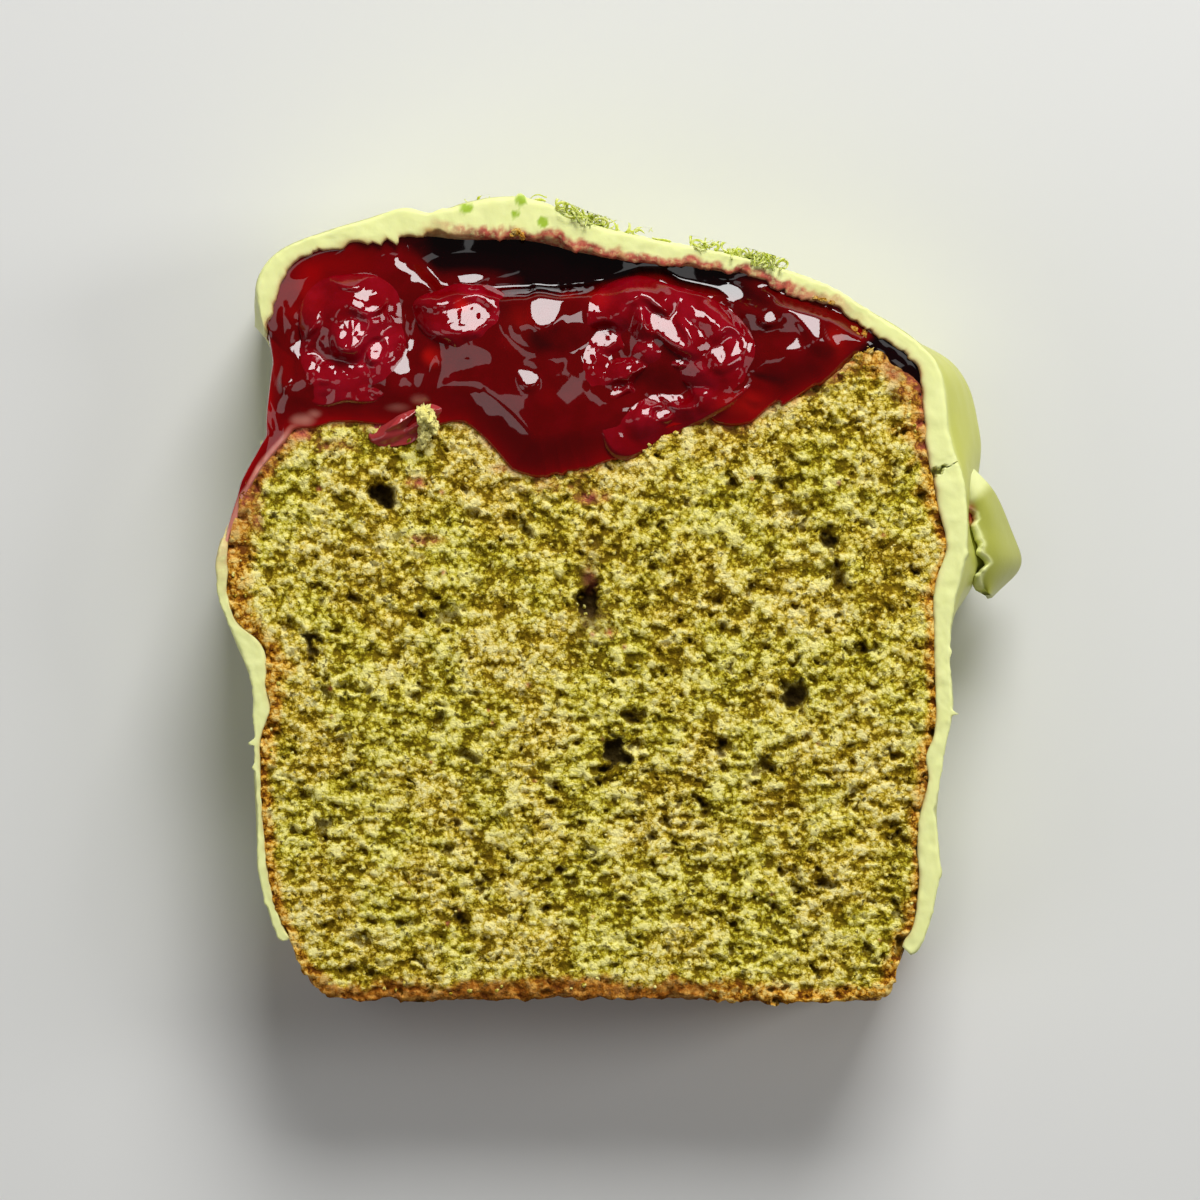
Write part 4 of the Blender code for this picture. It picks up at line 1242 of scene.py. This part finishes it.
def glaze_angles():
    """Even arms, with closer ones at the crack."""
    even = np.arange(GLAZE_FIRST, GLAZE_LAST, -GLAZE_STEP)
    close = np.arange(CRACK_ANGLE + CRACK_REACH, CRACK_ANGLE - CRACK_REACH, -CRACK_STEP)
    even = even[np.abs(even - CRACK_ANGLE) > CRACK_REACH + 0.05]
    return np.sort(np.concatenate([even, close]))[::-1]


def make_glaze():
    angles = glaze_angles()
    count = len(angles)
    spill = between(angles, 136.2, 137.6, 158, 166)
    drips = 0.85 + 0.45 * layered_noise(placed(angles, 50 * MM, TOP), 3.2 * MM, 147, 2)
    top = TOP - spill * 8.4 * MM * np.clip(drips, 0.35, 1.35)
    inner_top = read_table(GLAZE_INNER_TABLE, angles, TOP) - 0.35 * MM
    outer_top = read_table(GLAZE_OUTER_TABLE, angles, top - 0.4 * MM)
    outer_top = np.minimum(outer_top, spill_reach(angles) - 0.1 * MM)
    rim = placed(angles, inner_top, TOP)
    beside_jam = between(angles, 30, 46, 150, 160)
    ragged = layered_noise(rim, 2.6 * MM, 141, 4, 0.65)
    inner_top = inner_top + (0.3 + 0.5 * ragged) * MM * beside_jam + bumps_along(angles, GLAZE_EDGES)
    inner_top = inner_top + 0.15 * MM * layered_noise(rim, 1.8 * MM, 146, 3) * (1 - beside_jam)
    burrs = bumps_along(angles, GLAZE_BURRS)
    outer_top = outer_top + 0.12 * MM * layered_noise(rim, 1.3 * MM, 142, 4, 0.7) + burrs
    inner_top = np.minimum(inner_top, outer_top - 0.55 * MM)
    sponge = read_table(CRUMB_TABLE, angles, TOP) - 0.1 * MM
    by_sponge = np.maximum(eased(angles, 162, 165), eased(angles, 24, 20))
    inner_top = inner_top - np.maximum(inner_top - sponge, 0) * by_sponge
    end = np.clip(1 - np.minimum(GLAZE_FIRST - angles, angles - GLAZE_LAST) / END_REACH, 0, 1)
    taper = END_TAPER * (outer_top - inner_top) * (1 - np.sqrt(1 - end ** 2))
    outer_top = outer_top - taper
    # The cut share marks faces that take the paler cut colour: painted light on the up-facing cut.
    rows, cuts = [], []
    for share in np.linspace(0, 1, CUT_ROWS):
        radius = inner_top + (outer_top - inner_top) * share
        spots = placed(angles, radius, top)
        edge = 0.2 * MM * (max(0, 1 - 7 * share) ** 2 + max(0, 1 - 7 * (1 - share)) ** 2)
        bend = CRACK_ANGLE + CRACK_SLANT * (share - 0.5) + np.interp(share, CRACK_SHARES, CRACK_BENDS)
        crack = np.clip(1 - np.abs(angles - bend) / max(CRACK_WIDTH * (1 - 1.5 * share), 0.02), 0, 1)
        height = top - edge + 0.09 * MM * layered_noise(spots, 1.4 * MM, 143, 3, 0.6)
        rows.append(placed(angles, radius, height - 0.2 * MM - np.sqrt(crack) * CRACK_DEPTH))
        cuts.append(np.full(count, 1.0))
    for share in np.linspace(0.02, 1, 36) ** 1.15:
        height = (top - 0.5 * MM) * (1 - share) + FLOOR_GAP * share
        radius = np.minimum(read_table(GLAZE_OUTER_TABLE, angles, height), spill_reach(angles))
        spots = placed(angles, radius, height)
        radius = radius + 0.18 * MM * soft_noise(spots, 7 * MM, 144)
        radius = radius + 0.05 * MM * soft_noise(spots, 1.5 * MM, 145)
        radius = radius - 0.35 * MM * max(0, 1 - (1 - share) * 14)
        radius = radius + burrs * max(0, 1 - 9 * share) - taper
        rows.append(placed(angles, radius, height))
        cuts.append(np.full(count, 1 - eased(share, 0.0, 0.05)))
    low_outer = np.minimum(read_table(GLAZE_OUTER_TABLE, angles, FLOOR_GAP), spill_reach(angles))
    low_outer = low_outer - 0.35 * MM - taper
    low_inner = read_table(GLAZE_INNER_TABLE, angles, FLOOR_GAP) - SKIN_GAP
    for share in np.linspace(0.25, 1, 4):
        rows.append(placed(angles, low_outer + (low_inner - low_outer) * share, FLOOR_GAP))
        cuts.append(np.full(count, 1.0))
    for share in np.linspace(0.08, 0.92, 14):
        height = FLOOR_GAP + (top - 1.0 * MM - FLOOR_GAP) * share
        rows.append(placed(angles, read_table(GLAZE_INNER_TABLE, angles, height) - SKIN_GAP, height))
        cuts.append(np.full(count, 1.0))
    points, faces = closed_tube(np.stack(rows, axis=1))
    marks = glaze_marks(points, np.stack(cuts, axis=1).ravel(), np.repeat(inner_top, len(rows)),
                        np.repeat(angles, len(rows)))
    look = glaze_material()
    make_object("glaze_shell", points, faces, look, "glaze", marks)
    return look


def glaze_marks(points, cut, inner, angle):
    """How cut (painted light), how stained by jam, how toasted and how green with zest the glaze is."""
    x, y, z = points.T
    high = z > NEAR_CUT
    from_inner = np.maximum(reach_of(x, y) - inner, 0)
    beside_jam = between(angle, 46, 62, 104, 114)
    reach = np.maximum((1.4 + 0.9 * soft_noise(points, 4 * MM, 151)) * MM, 0.5 * MM)
    stain = np.exp(-(from_inner / reach) ** 2) * (1 + 0.7 * soft_noise(points, 0.7 * MM, 154))
    stain = 0.95 * eased(stain, 0.25, 0.75) * beside_jam
    edge = 0.6 * np.exp(-from_inner / (0.28 * MM)) * between(angle, 12, 30, 160, 168)
    pink = 0.35 * between(angle, 155, 160, 165, 176)
    stain = np.maximum(np.maximum(stain, edge), pink) * high
    toast = spots_mark(x, y, TOAST_SPOTS)
    toast = np.maximum(toast, 0.6 * np.exp(-from_inner / (0.3 * MM)) * (beside_jam < 0.5)) * high
    zest = spots_mark(x, y, GREEN_SPOTS) * (1 + 0.8 * layered_noise(points, 1.0 * MM, 152, 2))
    zest = eased(zest, 0.16, 0.42) * high
    toast = toast * np.clip(0.6 + soft_noise(points, 0.9 * MM, 153), 0, 1)
    return {"cut": cut, "stain": np.clip(stain, 0, 1), "toast": toast, "zest": zest, "dim": np.zeros(len(x))}


TOAST_SPOTS = ((360, 244, 34, 9, 0.7), (428, 230, 14, 6, 0.9), (330, 252, 26, 8, 0.5))
GREEN_SPOTS = ((465, 208, 11, 8, 0.9), (519, 200, 9, 10, 1.0), (516, 214, 8, 9, 0.9), (543, 222, 8, 8, 0.9),
               (592, 213, 14, 6, 0.7), (450, 203, 8, 5, 0.4))
# Painted shade in the pits of the plate's torn edge.
FLAP_PIT_SHADE = ((985, 546, 4, 5, 0.9), (986, 571, 5, 4, 0.9))
FLAP_SMEAR = ((973, 513, 10, 17, 1.0),)
FLAP_STATIONS = [
    # inner edge column and row, outer edge column and row, inner height and outer height in mm
    (960, 492, 976, 466, 20.6, 18.4), (967, 499, 986, 475, 19.8, 17.0), (973, 506, 999, 487, 19.2, 15.5),
    (980, 518, 1010, 507, 18.8, 13.6),
    (982, 530, 1018, 526, 18.7, 12.0), (988, 543, 1026, 543, 18.4, 10.6), (992, 556, 1033, 559, 17.8, 9.4),
    (991, 570, 1028, 573, 17.0, 9.0), (986, 584, 1012, 586, 16.0, 10.0), (992, 592, 997, 600, 14.0, 12.5),
]
FLAP_WALL = [
    # the same for the crushed wall behind it, from the glaze's side to the plate's underside
    (950, 486, 972, 492, 23.6, 18.6), (952, 500, 978, 505, 23.3, 17.6), (953, 515, 987, 522, 23.0, 16.8),
    (953, 530, 991, 538, 22.6, 16.2), (953, 546, 995, 553, 22.2, 15.6), (953, 562, 996, 567, 21.8, 14.6),
    (952, 578, 986, 577, 21.2, 14.4), (950, 594, 971, 591, 20.6, 14.8), (947, 610, 956, 606, 20.0, 15.6),
]
FLAP_THICKNESS = 1.5 * MM
FLAP_ROWS = 26
FLAP_STEPS = 64


def make_plate(listed_stations, bow_mm):
    """Points, faces, share across and step along of an uneven plate between two listed edges."""
    stations = np.array(listed_stations, float)
    spots = np.linspace(0, len(stations) - 1, FLAP_STEPS)
    listed = np.stack([np.interp(spots, np.arange(len(stations)), column) for column in stations.T], axis=1)
    listed = smoothed(listed, 3, False)
    inner = np.stack([at_photo(*row[:2]) for row in listed])
    outer = np.stack([at_photo(*row[2:4]) for row in listed])
    ragged = layered_noise(flat_points(*inner.T), 1.5 * MM, 161, 3, 0.7)
    shares = np.linspace(0, 1, FLAP_ROWS)
    torn = 0.12 * ragged[:, None]
    reached = torn + (1 - torn) * shares[None, :]
    across = inner[:, None, :] + (outer - inner)[:, None, :] * reached[..., None]
    bow = bow_mm * MM * np.sin(np.pi * np.clip(reached, 0, 1))
    level = (listed[:, 4, None] + (listed[:, 5] - listed[:, 4])[:, None] * reached) * MM + bow
    level = level + 0.08 * MM * layered_noise(np.dstack([across, level]), 3.5 * MM, 162, 2)
    top = np.dstack([across, level])
    rim = np.minimum(np.minimum(shares, 1 - shares) / 0.1, 1)[None, :]
    ends = np.minimum(np.minimum(np.arange(FLAP_STEPS), np.arange(FLAP_STEPS)[::-1]) / 4, 1)[:, None]
    thick = FLAP_THICKNESS * np.sqrt(np.clip(0.25 + 0.75 * rim * ends, 0, 1))
    thick = thick * (1 + 0.25 * soft_noise(top, 1.6 * MM, 163))
    under = top - np.stack([0.75 * thick, 0.2 * thick, 0.63 * thick], axis=-1)
    points, faces = closed_tube(np.concatenate([top, under[:, ::-1]], axis=1))
    from_inner = np.tile(np.concatenate([shares, shares[::-1]]), FLAP_STEPS)
    return points, faces, from_inner, np.repeat(np.arange(FLAP_STEPS), 2 * FLAP_ROWS)


def make_flap(look):
    """A torn plate of glaze leaning out from the side, and the broken wall it hangs on, in painted shade."""
    points, faces, from_inner, step = make_plate(FLAP_STATIONS, 1.6)
    wall, wall_faces, _, _ = make_plate(FLAP_WALL, -0.8)
    # The torn edges and upper lip take the paler cut colour: painted light on faces that look up.
    lip = 1 - eased(step, 9, 15)
    torn = np.maximum(hump(from_inner, 0.14), lip)
    # Painted shade: the plate's face is dimmed away from its torn edges, and darker in the edge's pits.
    dim = np.maximum(0.26 * (1 - torn), spots_mark(*points[:, :2].T, FLAP_PIT_SHADE))
    faces += [tuple(len(points) + corner for corner in face) for face in wall_faces]
    points = np.vstack([points, wall])
    # Painted shade on the wall behind the plate.
    wall_shade = np.clip(0.8 + 0.5 * soft_noise(wall, 1.5 * MM, 164), 0, 1)
    nothing = np.zeros(len(points))
    marks = {"cut": np.concatenate([torn, np.zeros(len(wall))]), "dim": np.concatenate([dim, wall_shade]),
             "stain": spots_mark(*points[:, :2].T, FLAP_SMEAR), "toast": nothing, "zest": nothing}
    make_object("glaze_flap", points, faces, look, "glaze_shard", marks)


# Zest

ZEST_SPOTS = [
    # column, row, half width in pixels, lowest and highest point in mm under the cut, number of strands
    (584, 213, 21, 0.2, 3.2, 70), (702, 243, 15, 0.3, 4.0, 16), (762, 253, 27, 0.2, 3.6, 84),
    (640, 232, 26, 1.0, 8.0, 7), (735, 244, 8, 0.5, 4.0, 6), (600, 216, 40, 8.0, 19.0, 16),
    (740, 250, 40, 7.0, 19.0, 16), (500, 196, 40, 6.0, 18.0, 10),
]
STRIP_STEPS = 14
STRIP_LENGTHS = (2.0, 5.0)
STRIP_WIDTHS = (0.22, 0.42)
STRIP_CURLS = (2, 8)


def zest_strip(start, heading, length, width, curl, draw):
    """A slender bent strip of peel: points and faces of a closed four-sided tube."""
    spot = np.array(start, float)
    forward = heading / np.linalg.norm(heading)
    up = np.cross(forward, [0.3, 0.2, 1.0])
    up /= np.linalg.norm(up)
    turn_axis = draw.normal(size=3)
    turn_axis /= np.linalg.norm(turn_axis)
    points = []
    for step in range(STRIP_STEPS + 1):
        side = np.cross(forward, up)
        taper = math.sin(math.pi * (0.08 + 0.84 * step / STRIP_STEPS)) ** 0.5
        half, thick = 0.5 * width * taper, 0.16 * width * taper
        for across, over in ((-half, -thick), (half, -thick), (half, thick), (-half, thick)):
            points.append(spot + side * across + up * over)
        spot = spot + forward * length / STRIP_STEPS
        forward = forward + np.cross(turn_axis, forward) * curl / STRIP_STEPS
        forward /= np.linalg.norm(forward)
        up = up - forward * (up @ forward)
        up /= np.linalg.norm(up)
    faces = band_faces(STRIP_STEPS + 1, 4)
    faces += [(3, 2, 1, 0), tuple(STRIP_STEPS * 4 + corner for corner in range(4))]
    return np.array(points), faces


def make_zest():
    draw = np.random.default_rng(17)
    points, faces = [], []
    for column, row, spread, highest, lowest, number in ZEST_SPOTS:
        middle = at_photo(column, row)
        for _ in range(number):
            spot = middle + draw.normal(0, 0.5, 2) * np.array([spread, spread * 0.3]) * PIXEL
            angle = float(angle_of(*spot))
            height = TOP - draw.uniform(highest, lowest) * MM
            surface = float(read_table(GLAZE_OUTER_TABLE, angle, height))
            start = placed(angle, surface + draw.uniform(-0.2, 0.8) * MM, height)
            heading = draw.normal(size=3) * np.array([1, 0.4, 0.8])
            length, width = draw.uniform(*STRIP_LENGTHS) * MM, draw.uniform(*STRIP_WIDTHS) * MM
            made, made_faces = zest_strip(start, heading, length, width, draw.uniform(*STRIP_CURLS), draw)
            limit = read_table(GLAZE_OUTER_TABLE, angle_of(*made[:, :2].T), made[:, 2])
            reach = reach_of(*made[:, :2].T)
            above = made[:, 2] > TOP - 0.1 * MM
            lift = np.clip(limit - np.where(above, 0.7, 0.05) * MM - reach, 0, None)
            made[:, :2] += (made[:, :2] - CENTRE) / reach[:, None] * lift[:, None]
            over = np.clip(reach + lift - limit - 1.3 * MM, 0, None)
            made[:, :2] -= (made[:, :2] - CENTRE) / reach[:, None] * over[:, None]
            made[:, 2] = np.minimum(made[:, 2], TOP + 0.7 * MM)
            first = len(points)
            points += list(made)
            faces += [tuple(first + corner for corner in face) for face in made_faces]
    make_object("lime_zest", np.array(points), faces, zest_material(), "glaze")


# Floor, light and camera


FLOOR_HALF = 1.5
SENSOR = 36.0
CAMERA_HEIGHT = 0.70
WORLD_LIGHT = 0.06
LIGHTS = (
    # name, place, width and length in metres, radiance
    ("key", (0.14, 0.66, 0.60), (0.44, 0.40), 14.2),
    ("side", (0.66, 0.12, 0.50), (0.20, 0.40), 6.0),
    ("low_left", (-0.66, -0.25, 0.50), (0.40, 0.50), 1.4),
    ("card_left", (-0.34, 0.10, 0.98), (0.34, 0.46), 1.3),
    ("card_right", (0.30, 0.30, 0.98), (0.16, 0.30), 1.4),
)
LIT_SPOT = (0, 0, 0.02)


def make_floor():
    mesh = bpy.data.meshes.new("floor")
    corners = [(x * FLOOR_HALF, y * FLOOR_HALF, 0) for x, y in ((-1, -1), (1, -1), (1, 1), (-1, 1))]
    mesh.from_pydata(corners, [], [(0, 1, 2, 3)])
    look = Shader("floor")
    look.set(Base_Color=(0.74, 0.74, 0.72), Roughness=0.8, Specular_IOR_Level=0.2)
    mesh.materials.append(look.material)
    floor = bpy.data.objects.new("floor", mesh)
    bpy.context.scene.collection.objects.link(floor)


def add_light(name, spot, size, radiance):
    """A flat rectangular light, as bright all over as radiance says."""
    light = bpy.data.lights.new(name, "AREA")
    light.shape = "RECTANGLE"
    light.size, light.size_y = size
    light.energy = radiance * math.pi * size[0] * size[1]
    lamp = bpy.data.objects.new(name, light)
    lamp.location = spot
    lamp.rotation_euler = (Vector(LIT_SPOT) - Vector(spot)).to_track_quat("-Z", "Y").to_euler()
    bpy.context.scene.collection.objects.link(lamp)


def add_lights():
    for listed in LIGHTS:
        add_light(*listed)
    world = bpy.data.worlds.new("world")
    world.use_nodes = True
    background = world.node_tree.nodes["Background"].inputs
    background["Color"].default_value = (1, 1, 1, 1)
    background["Strength"].default_value = WORLD_LIGHT
    bpy.context.scene.world = world
    bpy.context.scene.view_settings.view_transform = "Standard"


def add_camera():
    camera = bpy.data.cameras.new("camera")
    camera.sensor_width = SENSOR
    camera.lens = SENSOR * CAMERA_HEIGHT / (PHOTO_SIZE * PIXEL)
    camera.clip_start = 0.01
    holder = bpy.data.objects.new("camera", camera)
    holder.location = (*PHOTO_MIDDLE, TOP + CAMERA_HEIGHT)
    bpy.context.scene.collection.objects.link(holder)
    bpy.context.scene.camera = holder


def main():
    level, jam_line = make_jam()
    relief, crumb_look = make_crumb(jam_line)
    make_bits(relief, crumb_look, jam_line)
    make_fruit(level)
    glaze_look = make_glaze()
    make_flap(glaze_look)
    make_zest()
    make_floor()
    add_lights()
    add_camera()


main()
